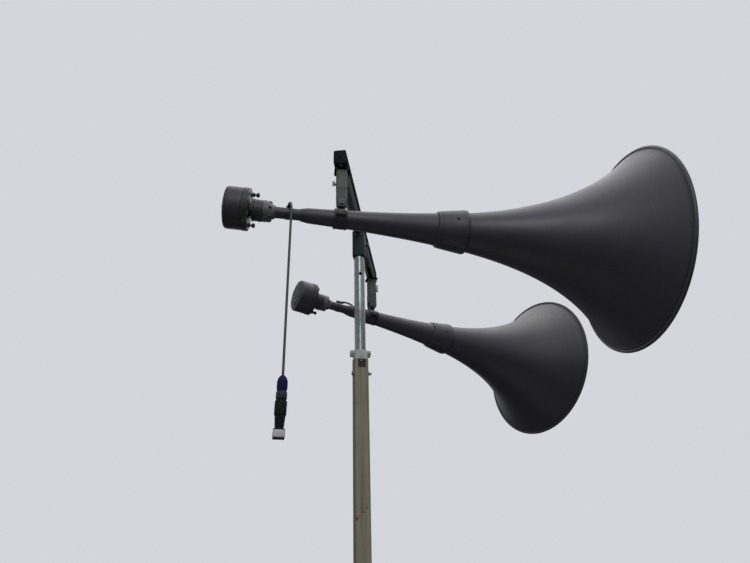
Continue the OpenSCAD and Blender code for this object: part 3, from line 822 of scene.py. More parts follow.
def finish(name):
    """The named finish, made the first time that a piece asks for it."""
    label = name + "_finish"
    if label in bpy.data.materials:
        return bpy.data.materials[label]
    maker, colour, settings = finish_table()[name]
    return maker(label, colour, **settings)


# Camera, floor and light

def make_camera():
    """The camera, where the photograph was taken from."""
    data = bpy.data.cameras.new("photo_camera")
    data.sensor_width = SENSOR_WIDTH
    data.lens = LENS
    data.clip_end = 200.0
    camera = bpy.data.objects.new("photo_camera", data)
    right = Vector(CAMERA_RIGHT).normalized()
    ahead = Vector(CAMERA_AHEAD).normalized()
    up = right.cross(ahead).normalized()
    place = Matrix((right, up, -ahead)).transposed().to_4x4()
    place.translation = CAMERA_PLACE
    camera.matrix_world = place
    bpy.context.scene.collection.objects.link(camera)
    bpy.context.scene.camera = camera


def make_floor():
    """A pale round floor with a soft edge."""
    bm = bmesh.new()
    low, r = -FLOOR_THICK, FLOOR_RADIUS
    outline = [(0, low), (r - 0.02, low), (r, low + 0.01), (r, -0.006), (r - 0.01, 0), (0, 0)]
    lathe(bm, outline, 96)
    bmesh.ops.recalc_face_normals(bm, faces=bm.faces)
    mesh = bpy.data.meshes.new("floor")
    bm.to_mesh(mesh)
    bm.free()
    material, tree, shader, coords = new_material("pale_floor")
    cloud = tree.between(tree.noise(coords, 3.0, 4.0), 0.3, 0.7)
    tree.link(tree.mix(cloud, *FLOOR_GREYS), shader.inputs["Base Color"])
    shader.inputs["Roughness"].default_value = 0.85
    mesh.materials.append(material)
    floor = bpy.data.objects.new("floor", mesh)
    bpy.context.scene.collection.objects.link(floor)


def make_light():
    """A soft dome, brightest above, in front and to the right, and three soft lamps."""
    scene = bpy.context.scene
    scene.world = bpy.data.worlds.new("soft_dome")
    scene.world.use_nodes = True
    tree = Tree(scene.world.node_tree)
    tree.tree.nodes.clear()
    direction = tree.add("ShaderNodeTexCoord").outputs["Generated"]
    parts = tree.add("ShaderNodeSeparateXYZ", {0: direction}).outputs
    level = tree.between(parts["Z"], *DOME_UP)
    level = tree.maths("MULTIPLY", level, tree.between(parts["X"], *DOME_RIGHT))
    level = tree.maths("MULTIPLY", level, tree.between(parts["Y"], *DOME_BACK))
    lit = tree.add("ShaderNodeBackground", {"Color": DOME_COLOUR, "Strength": level})
    backdrop = tree.mix(tree.between(parts["Z"], *HORIZON), BACKDROP_LOW, BACKDROP_HIGH)
    seen = tree.add("ShaderNodeBackground", {"Color": backdrop, "Strength": 1.0})
    rays = tree.add("ShaderNodeLightPath").outputs
    show = tree.maths("ADD", rays["Is Camera Ray"], rays["Is Transmission Ray"])
    show = tree.maths("ADD", show, rays["Is Glossy Ray"], clamp=True)
    mixed = tree.add("ShaderNodeMixShader", {0: show, 1: lit.outputs[0], 2: seen.outputs[0]})
    tree.add("ShaderNodeOutputWorld", {"Surface": mixed.outputs[0]})
    for lamp in LAMPS:
        data = bpy.data.lights.new(lamp.name, "AREA")
        data.size = lamp.size
        data.energy = lamp.power
        light = bpy.data.objects.new(lamp.name, data)
        light.location = lamp.place
        aim = Vector(LAMP_AIM) - Vector(lamp.place)
        light.rotation_euler = aim.to_track_quat("-Z", "Y").to_euler()
        scene.collection.objects.link(light)
    scene.view_settings.view_transform = "Standard"


# Leads and connectors

def smooth_route(points, parts=4):
    """Catmull-Rom points through a route."""
    route = [Vector(p) for p in points]
    made = []
    for i in range(len(route) - 1):
        a, b = route[max(i - 1, 0)], route[i]
        c, d = route[i + 1], route[min(i + 2, len(route) - 1)]
        for k in range(parts):
            t = k / parts
            made.append(0.5 * (2 * b + (c - a) * t + (2 * a - 5 * b + 4 * c - d) * t * t
                               + (3 * b - a - 3 * c + d) * t ** 3))
    made.append(route[-1])
    return made


def make_lead(side, with_pieces):
    """The hanging lead, as a round cord along its route."""
    sizes = bpy.context.scene.lead_sizes
    points = smooth_route(side.route)
    curve = bpy.data.curves.new(side.name + "_lead_cord", "CURVE")
    curve.dimensions = "3D"
    curve.bevel_depth = sizes.lead_diameter / 2
    curve.bevel_resolution = 4
    curve.use_fill_caps = True
    spline = curve.splines.new("POLY")
    spline.points.add(len(points) - 1)
    for spot, point in zip(spline.points, points):
        spot.co = (*point, 1.0)
    spline.use_smooth = True
    curve.materials.append(finish("lead_rubber"))
    lead = bpy.data.objects.new(side.name + "_lead_cord", curve)
    bpy.context.scene.collection.objects.link(lead)
    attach(lead, side.name + "_horn")
    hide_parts(side.name + "_lead")


def make_connector(side):
    """Blue barrel ferrule, grey ring, ribbed black coupler and a blank tag."""
    radius = bpy.context.scene.lead_sizes.ferrule_radius
    bm = bmesh.new()
    blue, black, grey, pale = 0, 1, 2, 3
    top = Vector(side.route[-1]) + Vector((0, 0, LEAD_GRIP))
    place = shift(*top) @ turn("Y", 1.2) @ Matrix.Rotation(math.pi, 4, "X")
    lathe(bm, [
        (0, -0.002), (0.0062, -0.002), (0.0070, 0.0), (0.0095, 0.001), (0.0118, 0.004),
        (0.0146, 0.009), (0.0162, 0.016), (radius, 0.026), (radius, 0.036), (0.0163, 0.046),
        (0.0157, 0.0515), (0.0150, 0.053), (0, 0.053)], 48, place=place, index=blue)
    for way in evenly(16):
        spot = place @ way @ shift(x=radius - 0.0004, z=0.030)
        block(bm, (0.0016, 0.0026, 0.026), spot, 0.0006, 1, blue)
    lathe(bm, [
        (0, 0.051), (0.0152, 0.051), (0.0172, 0.0535), (0.0180, 0.056), (0.0180, 0.074),
        (0.0172, 0.0765), (0, 0.0765)], 48, place=place, index=grey)
    lathe(bm, [
        (0, 0.075), (0.0150, 0.075), (0.0150, 0.080), (0.0184, 0.0815), (0.0190, 0.084),
        (0.0190, 0.126), (0.0182, 0.129), (0.0170, 0.1305), (0.0152, 0.148),
        (0.0138, 0.166), (0.0138, 0.171), (0, 0.171)], 48, place=place, index=black)
    for way in evenly(20):
        spot = place @ way @ shift(x=0.0188, z=0.105)
        block(bm, (0.0014, 0.0026, 0.040), spot, 0.0005, 1, black)
    for step in range(5):
        start = 0.134 + step * 0.0065
        ring(bm, 0.0120, 0.0170 - step * 0.0004, start, start + 0.0034, place, 32, index=black)
    tag = place @ Matrix.Rotation(side.tag_turn, 4, "Z") @ shift(z=0.1855)
    block(bm, (0.0380, 0.0280, 0.026), tag, 0.005, 3, pale)
    for end in (-1, 1):
        block(bm, (0.0366, 0.0270, 0.0030), tag @ shift(z=end * 0.0138), 0.0012, 2, black)
    return finish_horn_part(
        bm, side, "connector_body",
        ["ferrule_blue", "coupler_black", "ring_grey", "pale_label"], "connector")


def make_boot(side):
    """The tapered strain relief round the first bend of the lead."""
    points = smooth_route(side.route, 6)
    length, used = 0.0, [points[0]]
    for a, b in zip(points, points[1:]):
        length += (b - a).length
        if length > BOOT_LENGTH:
            break
        used.append(b)
    bm = bmesh.new()
    count = len(used) - 1
    radii = [0.0074 - 0.0018 * i / count + (0.0005 if i % 3 == 1 else 0.0)
             for i in range(count + 1)]
    hose(bm, used, radii, 20)
    finish_horn_part(bm, side, "boot", ["dark_plastic"])


# Horns

def make_neck(side):
    """The pipe at the throat and the flare that stands proud of it, up to the joint."""
    sizes = bpy.context.scene.horn_sizes
    pipe, wall = sizes.throat_radius, sizes.shell_wall
    outer = [(pipe, PIPE_END), (pipe, NECK_START), (pipe + 0.0016, NECK_START + 0.0006),
             (pipe + 0.0026, NECK_START + 0.0030), *flare_line(NECK_FULL, JOINT, 40, NECK_PROUD)]
    inner = [(pipe - wall, PIPE_END), (pipe - wall, NECK_START),
             *flare_line(NECK_FULL, JOINT, 40, -wall)]
    bm = bmesh.new()
    lathe(bm, outer + inner[::-1], sizes.turn_steps, closed=True)
    finish_horn_part(bm, side, "neck_shell", ["horn_shell"], "neck",
                     horn_place(side))


def make_bell(side):
    """The wide flare from the joint to the mouth."""
    sizes = bpy.context.scene.horn_sizes
    outer = flare_line(JOINT, MOUTH, 54)
    inner = flare_line(JOINT, MOUTH, 54, -sizes.shell_wall)
    bm = bmesh.new()
    lathe(bm, outer + inner[::-1], sizes.turn_steps, closed=True)
    finish_horn_part(bm, side, "bell_shell", ["horn_shell"], "bell",
                     horn_place(side))


def make_collar(side):
    """The ring that laps the joint of neck and bell, with its grooves and four screws."""
    rear, front = COLLAR_REAR, COLLAR_FRONT
    steps_out = [
        (rear - 0.0020, 0.0046), (rear - 0.0008, 0.0080), (rear + 0.0016, 0.0100),
        (rear + 0.0060, 0.0108), (rear + 0.0120, 0.0112), (rear + 0.0126, 0.0104),
        (rear + 0.0138, 0.0104), (rear + 0.0144, 0.0113), (rear + 0.0180, 0.0118),
        (rear + 0.0400, 0.0121), (rear + 0.0620, 0.0124), (rear + 0.0820, 0.0126),
        (front - 0.0250, 0.0127), (front - 0.0245, 0.0122), (front - 0.0235, 0.0122),
        (front - 0.0230, 0.0127), (front - 0.0150, 0.0126), (front - 0.0100, 0.0118),
        (front - 0.0045, 0.0094), (front - 0.0008, 0.0050), (front + 0.0006, 0.0012)]
    outline = [(flare_radius(z) + grow, z) for z, grow in steps_out]
    inside = (flare_line(JOINT + 0.0004, front + 0.0006, 8, -0.0008)[::-1]
              + flare_line(rear - 0.0020, JOINT, 8, NECK_PROUD - 0.0008)[::-1])
    bm = bmesh.new()
    lathe(bm, outline + inside, bpy.context.scene.horn_sizes.turn_steps, closed=True)
    screw_z = front - 0.046
    seat = shift(x=flare_radius(screw_z) + 0.0118, z=screw_z) @ turn("Y", 81)
    for way in evenly(4, -97):
        spot = way @ seat
        dome(bm, 0.0065, 0.0042, spot, index=1)
        ring(bm, 0.0, 0.0085, -0.0006, 0.0009, spot, 24, 0.0004, 1)
    finish_horn_part(bm, side, "collar_ring", ["horn_shell", "dark_plastic"],
                     "collar", horn_place(side), 40)


def make_mouth_bead(side):
    """The rubber bead round the mouth, and a dark ring behind it: a painted crevice shadow."""
    sizes = bpy.context.scene.horn_sizes
    thick, steps = sizes.bead_radius, sizes.turn_steps
    centre = flare_radius(MOUTH) - sizes.shell_wall / 2 - 0.0010
    middle = MOUTH - BEAD_BACK
    circle = []
    for i in range(24):
        a = 2 * math.pi * i / 24
        circle.append((centre + thick * math.cos(a), middle + thick * math.sin(a)))
    bm = bmesh.new()
    lathe(bm, circle, steps, closed=True)
    # Painted shadow: a thin dark ring on the shell just behind the bead
    start, end = middle - thick - CREVICE_SHADE_LENGTH, middle - thick + 0.0030
    outer, inner = flare_line(start, end, 4, 0.0010), flare_line(start, end, 4, -0.0010)
    lathe(bm, outer + inner[::-1], steps, closed=True, index=1)
    finish_horn_part(bm, side, "mouth_bead_and_shade", ["rim_rubber", "dark_plastic"],
                     "rim", horn_place(side), 60)


def make_band(side):
    """The split clamp band with its hanging lug, its edge rings and eight bolt heads."""
    clamp = softened(side.name + "_band")
    finish_horn_part(clamp, side, "band_clamp", ["band_paint"], "band")
    radius = flare_radius(0) + NECK_PROUD
    bolts = bmesh.new()
    for s in (-1, 1):
        for z in (-0.012, 0.012):
            for angle in (-90, 90):
                spot = shift(y=s * (radius + 0.0118), z=z) @ turn("Y", angle) @ shift(z=0.0060)
                bolt(bolts, spot, 0.0055)
    for z in (-0.0215, 0.0215):
        ring(bolts, radius + 0.001, radius + 0.0062, z - 0.002, z + 0.002, steps=64)
    finish_horn_part(bolts, side, "band_bolts", ["band_paint"],
                     place=horn_place(side))


def make_throat_block(side):
    """The flanged block on the throat pipe, with six bolts and four side screws."""
    start = BLOCK_END
    bm = bmesh.new()
    lathe(bm, [
        (BORE_RADIUS, start), (0.0395, start), (0.0410, start + 0.0015),
        (0.0410, start + 0.0095), (0.0400, start + 0.0105), (0.0400, start + 0.0120),
        (0.0410, start + 0.0130), (0.0410, start + 0.0205), (0.0397, start + 0.0220),
        (0.0362, start + 0.0222), (0.0345, start + 0.0260), (0.0300, start + 0.0340),
        (0.0268, start + 0.0400), (0.0256, start + 0.0440), (0.0250, start + 0.0450),
        (BORE_RADIUS, start + 0.0450)], 72, closed=True)
    for way in evenly(6, 30):
        head = way @ shift(x=0.0335, z=start + 0.0225)
        rod(bm, 0.0078, -0.001, 0.0014, head, 24, 0.0003, 1)
        hexagon(bm, 0.0125, 0.0058, head @ shift(z=0.0012), 1)
        dome(bm, 0.0046, 0.0034, head @ shift(z=0.0068), 16, 1)
    for way in evenly(4, 45):
        spot = way @ shift(x=0.0405, z=start + 0.0058) @ turn("Y", 90)
        socket_screw(bm, 0.0032, 0.0020, spot, 1)
    finish_horn_part(bm, side, "throat_flange", ["block_paint", "flange_paint"],
                     "throat_block", horn_place(side))


def make_adapter(side):
    """The grooved ring between the throat block and the pot, with its screws."""
    a = ADAPTER_END
    bm = bmesh.new()
    lathe(bm, [
        (BORE_RADIUS, a - 0.0110), (0.0270, a - 0.0110), (0.0270, a + 0.0004),
        (0.0278, a + 0.0010), (0.0440, a + 0.0010), (0.0448, a + 0.0018),
        (0.0448, a + 0.0044), (0.0440, a + 0.0052), (0.0412, a + 0.0054),
        (0.0405, a + 0.0064), (0.0416, a + 0.0078), (0.0420, a + 0.0200),
        (0.0412, a + 0.0210), (0.0412, a + 0.0222), (0.0420, a + 0.0232),
        (0.0420, a + 0.0385), (0.0405, a + 0.0408), (BORE_RADIUS, a + 0.0408)],
        72, closed=True)
    for way in evenly(6):
        spot = way @ shift(x=0.0355, z=a + 0.0010) @ turn("Y", 180)
        socket_screw(bm, 0.0042, 0.0036, spot, 1)
    for way in evenly(3, 20):
        spot = way @ shift(x=0.0415, z=a + 0.0300) @ turn("Y", 90)
        socket_screw(bm, 0.0038, 0.0022, spot, 1)
    finish_horn_part(bm, side, "adapter_ring", ["adapter_paint", "dull_bolt"],
                     "adapter", horn_place(side))


def make_pot(side):
    """The driver's pot: a shell, a grooved flange in front and screws on both faces."""
    bm = bmesh.new()
    place = horn_place(side)
    rear, front, r = POT_REAR, POT_FRONT, POT_RADIUS
    shell, flange, dark = 0, 1, 2
    lathe(bm, [
        (0, rear - 0.0030), (0.0500, rear - 0.0036), (0.0545, rear - 0.0034),
        (0.0570, rear - 0.0020), (0.0590, rear - 0.0002), (r - 0.0150, rear + 0.0002),
        (r - 0.0100, rear + 0.0008), (r - 0.0065, rear + 0.0024), (r - 0.0040, rear + 0.0050),
        (r - 0.0024, rear + 0.0085), (r - 0.0018, rear + 0.0140), (r - 0.0016, rear + 0.0660),
        (r - 0.0024, rear + 0.0670), (r - 0.0024, rear + 0.0682), (0, rear + 0.0682)],
        128, place=place, index=shell)
    lathe(bm, [
        (0, front - 0.0240), (r - 0.0020, front - 0.0240), (r - 0.0006, front - 0.0232),
        (r, front - 0.0216), (r, front - 0.0100), (r - 0.0010, front - 0.0090),
        (r - 0.0010, front - 0.0078), (r - 0.0002, front - 0.0070), (r - 0.0002, front - 0.0030),
        (r - 0.0025, front - 0.0006), (r - 0.0045, front), (0.0520, front),
        (0.0505, front - 0.0012), (0, front - 0.0012)],
        128, place=place, index=flange)
    ring(bm, 0.026, 0.0350, front - 0.003, front + 0.0016, place, 64, 0.001, shell)
    for way in evenly(8, 22.5):
        spot = place @ way @ shift(x=0.0755, z=front)
        socket_screw(bm, 0.0042, 0.0012, spot, dark)
    for way in evenly(6):
        spot = place @ way @ shift(x=0.0440, z=rear - 0.0032) @ turn("Y", 180)
        dome(bm, 0.0052, 0.0030, spot, 20, dark)
    centre = place @ shift(z=rear - 0.0034) @ turn("Y", 180)
    ring(bm, 0.0, 0.0200, -0.001, 0.0012, centre, 48, 0.0008, shell)
    finish_horn_part(bm, side, "driver_pot",
                     ["driver_paint", "flange_paint", "dark_plastic"], "driver", sharp=38)


def make_knob_posts(side):
    """The two posts on the pot's front, each with a nut, a thread and a ribbed knob."""
    bm = bmesh.new()
    knob, metal = 0, 1
    for s in (-1, 1):
        spot = horn_place(side) @ shift(x=s * KNOB_CIRCLE, z=POT_FRONT)
        rod(bm, 0.0096, -0.001, 0.0018, spot, 32, 0.0004, metal)
        hexagon(bm, 0.0150, 0.0095, spot @ shift(z=0.0016), knob)
        rod(bm, 0.0042, 0.010, 0.022, spot, 24, 0.0004, metal)
        ring(bm, 0.0030, 0.0060, 0.0138, 0.0156, spot, 24, 0.0004, knob)
        lathe(bm, [
            (0, 0.0175), (0.0062, 0.0175), (0.0080, 0.0187), (0.0085, 0.0202),
            (0.0085, 0.0262), (0.0078, 0.0280), (0.0060, 0.0292), (0, 0.0294)],
            32, place=spot, index=knob)
        for way in evenly(12):
            rib = spot @ way @ shift(x=0.0084, z=0.0232)
            block(bm, (0.0014, 0.0022, 0.0062), rib, 0.0005, 1, knob)
    finish_horn_part(bm, side, "knob_posts", ["dark_plastic", "bolt_zinc"],
                     "driver_posts")


def make_gland(side):
    """A strap round the throat pipe, a saddle block and the nozzle that the lead leaves by."""
    bm = bmesh.new()
    place = horn_place(side)
    seat = flare_radius(GLAND)
    pipe = bpy.context.scene.horn_sizes.throat_radius
    ring(bm, pipe - 0.0012, pipe + 0.0018, GLAND - 0.0075, GLAND + 0.0075, place, 64)
    block(bm, (0.0116, 0.0156, 0.0196),
          place @ shift(x=-seat - 0.0028, z=GLAND), 0.0022, 3)
    aim = place @ shift(x=-seat - 0.0080, z=GLAND) @ Matrix.Rotation(-side.gland_turn, 4, "X")
    lathe(bm, [
        (0, -0.0100), (0.0066, -0.0100), (0.0078, -0.0086), (0.0080, -0.0060),
        (0.0080, 0.0030), (0.0072, 0.0036), (0.0072, 0.0050), (0.0080, 0.0056),
        (0.0080, 0.0135), (0.0072, 0.0158), (0, 0.0160)], 32, place=aim)
    for s in (-1, 1):
        spot = place @ shift(x=-seat - 0.0082, z=GLAND + s * 0.0072) @ turn("Y", -90)
        dome(bm, 0.0030, 0.0020, spot, 16)
    finish_horn_part(bm, side, "gland_saddle", ["dark_plastic"], "gland")


# Hangers

def make_clevis(side):
    """The ribbed fork that turns under a sleeve."""
    bm = softened(side.name + "_clevis")
    place = pivot_place(side)
    half = CLEVIS_SIDE / 2
    for way in evenly(2):
        for y in (-0.0115, 0.0115):
            strip = place @ way @ shift(x=half, y=y, z=0.038)
            block(bm, (0.0028, 0.0034, 0.050), strip, 0.0008, 1)
    for way in evenly(2, 90):
        for y in (-0.012, 0.0, 0.012):
            strip = place @ way @ shift(x=half, y=y, z=0.044)
            block(bm, (0.0026, 0.0030, 0.036), strip, 0.0008, 1)
    finish_piece(bm, side.name + "_clevis_fork", side.name + "_swivel",
                 ["fork_paint"], side.name + "_clevis")


def make_tilt_bolt(side):
    """The bolt that the horn tilts on, with its socket head, two washers and a nut."""
    bm = bmesh.new()
    half = CLEVIS_SIDE / 2
    out = pivot_place(side) @ turn("X", 90)
    rod(bm, 0.0060, -half - 0.012, half + 0.001, out, 32, 0.0008)
    rod(bm, 0.0118, half, half + 0.0016, out, 40, 0.0004)
    lathe(bm, [
        (0, half + 0.0014), (0.0094, half + 0.0014), (0.0100, half + 0.0022),
        (0.0100, half + 0.0058), (0.0092, half + 0.0068), (0.0052, half + 0.0068),
        (0.0048, half + 0.0040), (0, half + 0.0040)], 40, place=out)
    rod(bm, 0.0118, -half - 0.0016, -half, out, 40, 0.0004)
    hexagon(bm, 0.0173, 0.0074, out @ shift(z=-half - 0.0088))
    finish_piece(bm, side.name + "_tilt_bolt_set", side.name + "_swivel",
                 ["dull_bolt"], side.name + "_tilt_bolt")


def make_sleeve(side):
    """The ribbed block under the beam, with four button heads and a painted top plate."""
    bm = softened(side.name + "_sleeve")
    for face in bm.faces:
        if face.calc_center_median().z > BEAM_Z - SLEEVE_PLATE - 0.0005:
            face.material_index = 2
    low = hanger_place(side, side.sleeve_yaw, BEAM_Z - SLEEVE_LENGTH)
    for way in evenly(4):
        for y in (-0.0125, 0.0125):
            strip = low @ way @ shift(x=SLEEVE_SIDE / 2, y=y, z=0.046)
            block(bm, (0.0026, 0.0030, 0.084), strip, 0.0008, 1)
    for x in (-0.0245, 0.0245):
        for y in (-0.0245, 0.0245):
            spot = low @ shift(x, y, SLEEVE_LENGTH - SLEEVE_PLATE) @ turn("X", 180)
            dome(bm, 0.0040, 0.0030, spot, 16, 1)
    finish_piece(bm, side.name + "_sleeve_block", "head",
                 ["hanger_paint", "bolt_zinc", "slate_paint"], side.name + "_sleeve")


def make_wing_screw(side):
    """The screw that holds a clevis in its sleeve."""
    bm = bmesh.new()
    axis = (hanger_place(side, side.sleeve_yaw + side.screw_turn, WING_SCREW_Z)
            @ turn("Y", 90))
    face = SLEEVE_SIDE / 2
    rod(bm, 0.0040, 0.013, face + 0.006, axis, 24, 0.0005)
    ring(bm, 0.0038, 0.0078, face - 0.0002, face + 0.0016, axis, 32, 0.0004)
    lathe(bm, [
        (0, face + 0.003), (0.0048, face + 0.003), (0.0060, face + 0.0044),
        (0.0060, face + 0.0075), (0.0046, face + 0.0092), (0, face + 0.0092)], 32, place=axis)
    wing = axis @ shift(x=side.wing_shift, z=face + 0.0110)
    block(bm, (side.wing_length, 0.0042, 0.0110), wing, 0.0018, 3)
    finish_piece(bm, side.name + "_wing_screw", "head", ["bolt_zinc"],
                 side.name + "_thumb_screw")


# Head

def make_crossbeam():
    """The channel, slate outside, grey inside and underneath but for painted shade at its ends.
    """
    channel = softened("crossbeam", 0.0008)
    place = beam_place()
    turned = place.inverted()
    along = place.to_3x3() @ Vector((1, 0, 0))
    # Cut the channel where the painted shade at each end begins
    for x in (-END_SHADE_START, END_SHADE_START):
        bmesh.ops.bisect_plane(
            channel, geom=channel.verts[:] + channel.edges[:] + channel.faces[:],
            plane_co=place @ Vector((x, 0, 0)), plane_no=along)
    for face in channel.faces:
        centre = turned @ face.calc_center_median()
        # Inside and underneath go grey, except near the ends, whose slate is painted shade
        if (abs(centre.y) < BEAM_WIDTH / 2 - 0.001 and centre.z < BEAM_HEIGHT / 2 - 0.001
                and abs(centre.x) < END_SHADE_START):
            face.material_index = 1
    finish_piece(channel, "crossbeam_channel", "head",
                 ["slate_paint", "channel_grey"], "crossbeam")


def make_beam_caps():
    """The caps on the beam's ends, each with a button head."""
    caps = softened("beam_caps")
    for s in (-1, 1):
        spot = beam_place() @ shift(x=s * BEAM_LENGTH / 2) @ turn("Y", s * 90)
        dome(caps, 0.0042, 0.0022, spot)
    finish_piece(caps, "crossbeam_caps", "head", ["cap_black"], "beam_caps")


def make_socket():
    """The square socket on the round tube, with its welds, its lower ring and four bolts."""
    socket = softened("head_socket", 0.0012)
    low = Matrix.Rotation(math.pi / 2 - BEAM_TURN, 4, "Z") @ shift(z=BEAM_Z - SOCKET_LENGTH)
    half = SOCKET_SIDE / 2
    out, reach, top = half - 0.001, half - 0.008, SOCKET_LENGTH - 0.001
    for way in evenly(4):
        edge = low @ way
        weld(socket, edge @ Vector((out, -reach, top)), edge @ Vector((out, reach, top)), 0.0030)
    ring(socket, TUBE_RADIUS + 0.0002, TUBE_RADIUS + 0.0040, -0.0022, 0.0012, low, 64, 0.0008)
    for way in evenly(2):
        for y in (-0.012, 0.012):
            spot = low @ way @ shift(x=half, y=y, z=0.112) @ turn("Y", 90)
            bolt(socket, spot, index=1)
    finish_piece(socket, "head_socket_block", "head",
                 ["socket_paint", "dull_bolt"], "head_socket")


def make_knob():
    """The ribbed knob and its screw, which hold the socket on the round tube."""
    knob = bmesh.new()
    half = SOCKET_SIDE / 2
    axis = Matrix.Rotation(-BEAM_TURN, 4, "Z") @ shift(z=KNOB_Z) @ turn("Y", 90)
    rod(knob, 0.0060, TUBE_RADIUS + 0.0004, half + 0.006, axis, 24, 0.0006, 1)
    ring(knob, 0.0058, 0.0096, half - 0.0002, half + 0.0020, axis, 32, 0.0005, 1)
    lathe(knob, [
        (0, half + 0.0030), (0.0060, half + 0.0030), (0.0078, half + 0.0042),
        (0.0088, half + 0.0062), (0.0090, half + 0.0128), (0.0080, half + 0.0156),
        (0.0056, half + 0.0170), (0, half + 0.0170)], 40, place=axis)
    for way in evenly(10):
        rib = axis @ way @ shift(x=0.0086, z=half + 0.0098)
        block(knob, (0.0022, 0.0030, 0.0085), rib, 0.0007, 1)
    finish_piece(knob, "head_turn_knob", "head",
                 ["dark_plastic", "bolt_zinc"], "head_knob")


# Mast

def make_tubes():
    """The round tube with its rusted bore, its foot, and the square post."""
    tube = softened("upper_tube", 0.0004, 1)
    for face in tube.faces:
        centre = face.calc_center_median()
        if math.hypot(centre.x, centre.y) < TUBE_RADIUS - 0.0006:
            face.material_index = 1
    finish_piece(tube, "sliding_tube_shell", "sliding_tube",
                 ["zinc", "tube_bore"], "upper_tube")
    dress_node("tube_foot", "slate_paint")
    finish_piece(softened("lower_tube", 0.0006), "post_tube", "post",
                 ["olive_paint"], "lower_tube")


def make_clamp():
    """The clamp ring on the post, its two pressing screws and the bolts of its ears."""
    collar = softened("clamp_collar")
    half = POST_SIDE / 2
    for s in (-1, 1):
        y = s * (half - 0.001)
        weld(collar, (0.020, y, POST_TOP), (-0.020, y, POST_TOP), 0.0022)
    finish_piece(collar, "clamp_ring", "post", ["clamp_paint"], "clamp_collar")
    screws = bmesh.new()
    for s, reach in ((-1, 0.008), (1, 0.018)):
        axis = shift(z=SCREW_Z) @ turn("Y", 90 * s)
        rod(screws, 0.0060, TUBE_RADIUS + 0.0004, half + reach, axis, 24, 0.0008)
        ring(screws, 0.0058, 0.0118, half - 0.0001, half + 0.0014, axis, 32, 0.0004)
        hexagon(screws, 0.0188, 0.0066, axis @ shift(z=half + 0.0013))
    ear_x, ear_z = TUBE_RADIUS + 0.014, POST_TOP + CLAMP_HEIGHT - 0.012
    for s in (-1, 1):
        for angle in (-90, 90):
            spot = shift(x=s * ear_x, z=ear_z) @ turn("X", angle) @ shift(z=0.0120)
            bolt(screws, spot)
    finish_piece(screws, "clamp_screw_set", "post", ["bolt_zinc"], "clamp_screws")
    dress_node("guide_bush", "rusty_steel")


def make_base():
    """The foot plate and its gussets, with the weld beads that join them to the post."""
    radius = bpy.context.scene.mast_sizes.weld_radius
    plate = softened("base_plate", 0.0015)
    finish_piece(plate, "foot_plate", "post", ["olive_paint"], "base_plate")
    gussets = softened("base_gussets")
    top, half, reach = BASE_THICK, POST_SIDE / 2, GUSSET_REACH
    for way in evenly(4):
        for y in (-0.0045, 0.0045):
            weld(gussets, way @ Vector((half + 0.002, y, top + 0.0005)),
                 way @ Vector((reach - 0.002, y, top + 0.0005)), radius)
            weld(gussets, way @ Vector((half + 0.0005, y, top + 0.002)),
                 way @ Vector((half + 0.0005, y, top + GUSSET_HEIGHT)), radius * 0.85)
        for s in (-1, 1):
            weld(gussets, way @ Vector((half, s * 0.008, top + 0.0005)),
                 way @ Vector((half, s * 0.027, top + 0.0005)), radius)
    finish_piece(gussets, "foot_gussets", "post", ["olive_paint"], "base_gussets")


# Operators

class MAST_OT_camera(bpy.types.Operator):
    """Place the camera at the mast's main viewing angle"""
    bl_idname = "mast.camera"
    bl_label = "Camera"
    bl_options = {"REGISTER", "UNDO"}

    def execute(self, context):
        make_camera()
        return {"FINISHED"}


class MAST_OT_leads(bpy.types.Operator):
    """Hang both leads with their boots, connectors and blank tags"""
    bl_idname = "mast.leads"
    bl_label = "Leads"
    bl_options = {"REGISTER", "UNDO"}

    def execute(self, context):
        for side in SIDES:
            make_lead(side, [make_connector(side)])
            make_boot(side)
        return {"FINISHED"}


class MAST_OT_stage(bpy.types.Operator):
    """Lay the pale floor and set the soft light"""
    bl_idname = "mast.stage"
    bl_label = "Stage"
    bl_options = {"REGISTER", "UNDO"}

    def execute(self, context):
        make_floor()
        make_light()
        return {"FINISHED"}


class MAST_OT_horns(bpy.types.Operator):
    """Spin the necks, collars, bells and mouth beads"""
    bl_idname = "mast.horns"
    bl_label = "Horn shells"
    bl_options = {"REGISTER", "UNDO"}

    def execute(self, context):
        for side in SIDES:
            make_neck(side)
            make_bell(side)
            make_collar(side)
            make_mouth_bead(side)
        return {"FINISHED"}


class MAST_OT_bands(bpy.types.Operator):
    """Fit the clamp bands that carry the horns"""
    bl_idname = "mast.bands"
    bl_label = "Bands"
    bl_options = {"REGISTER", "UNDO"}

    def execute(self, context):
        for side in SIDES:
            make_band(side)
        return {"FINISHED"}


class MAST_OT_drivers(bpy.types.Operator):
    """Turn the throat flanges, adapters, pots and glands"""
    bl_idname = "mast.drivers"
    bl_label = "Drivers"
    bl_options = {"REGISTER", "UNDO"}

    def execute(self, context):
        for side in SIDES:
            make_throat_block(side)
            make_adapter(side)
            make_pot(side)
            make_knob_posts(side)
            make_gland(side)
        return {"FINISHED"}


class MAST_OT_hangers(bpy.types.Operator):
    """Make the sleeves, wing screws, clevises and tilt bolts"""
    bl_idname = "mast.hangers"
    bl_label = "Hangers"
    bl_options = {"REGISTER", "UNDO"}

    def execute(self, context):
        for side in SIDES:
            make_clevis(side)
            make_tilt_bolt(side)
            make_sleeve(side)
            make_wing_screw(side)
        return {"FINISHED"}


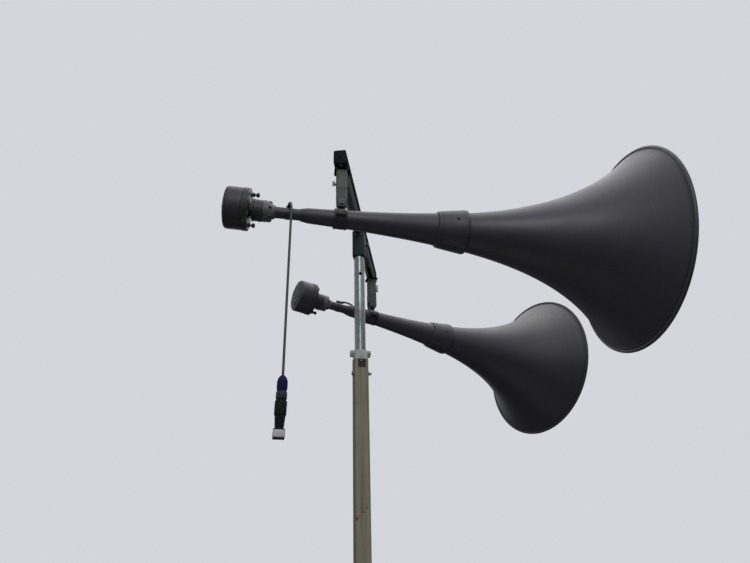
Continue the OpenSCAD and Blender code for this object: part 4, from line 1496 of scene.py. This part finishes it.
class MAST_OT_head(bpy.types.Operator):
    """Make the crossbeam, its caps, the socket and the knob"""
    bl_idname = "mast.head"
    bl_label = "Head"
    bl_options = {"REGISTER", "UNDO"}

    def execute(self, context):
        make_crossbeam()
        make_beam_caps()
        make_socket()
        make_knob()
        return {"FINISHED"}


class MAST_OT_mast(bpy.types.Operator):
    """Make the two tubes, the clamp ring and its screws"""
    bl_idname = "mast.mast"
    bl_label = "Mast tubes"
    bl_options = {"REGISTER", "UNDO"}

    def execute(self, context):
        make_tubes()
        make_clamp()
        return {"FINISHED"}


class MAST_OT_base(bpy.types.Operator):
    """Make the foot plate and its welded gussets"""
    bl_idname = "mast.base"
    bl_label = "Base"
    bl_options = {"REGISTER", "UNDO"}

    def execute(self, context):
        make_base()
        return {"FINISHED"}


class MAST_PT_builder(bpy.types.Panel):
    """Lists the mast's pieces, sizes and colours"""
    bl_idname = "MAST_PT_builder"
    bl_label = "Horn Mast"
    bl_space_type = "VIEW_3D"
    bl_region_type = "UI"
    bl_category = "Horn Mast"

    def draw(self, context):
        for operator in OPERATORS:
            self.layout.operator(operator.bl_idname)
        for group, name in GROUPS.items():
            box = self.layout.box()
            for size in group.__annotations__:
                box.prop(getattr(context.scene, name), size)


OPERATORS = (
    MAST_OT_camera, MAST_OT_leads, MAST_OT_stage, MAST_OT_horns, MAST_OT_bands,
    MAST_OT_drivers, MAST_OT_hangers, MAST_OT_head, MAST_OT_mast, MAST_OT_base,
)
GROUPS = {
    MastSizes: "mast_sizes", HornSizes: "horn_sizes", LeadSizes: "lead_sizes",
    FinishColours: "finish_colours",
}


def register():
    for kind in (*GROUPS, *OPERATORS, MAST_PT_builder):
        bpy.utils.register_class(kind)
    for kind, name in GROUPS.items():
        setattr(bpy.types.Scene, name, PointerProperty(type=kind))


def unregister():
    for name in GROUPS.values():
        delattr(bpy.types.Scene, name)
    for kind in reversed((*GROUPS, *OPERATORS, MAST_PT_builder)):
        bpy.utils.unregister_class(kind)


def main():
    register()
    for operator in OPERATORS:
        group, name = operator.bl_idname.split(".")
        result = getattr(getattr(bpy.ops, group), name)()
        if result != {"FINISHED"}:
            raise RuntimeError(f"{operator.bl_label} did not finish")


if __name__ == "__main__":
    main()
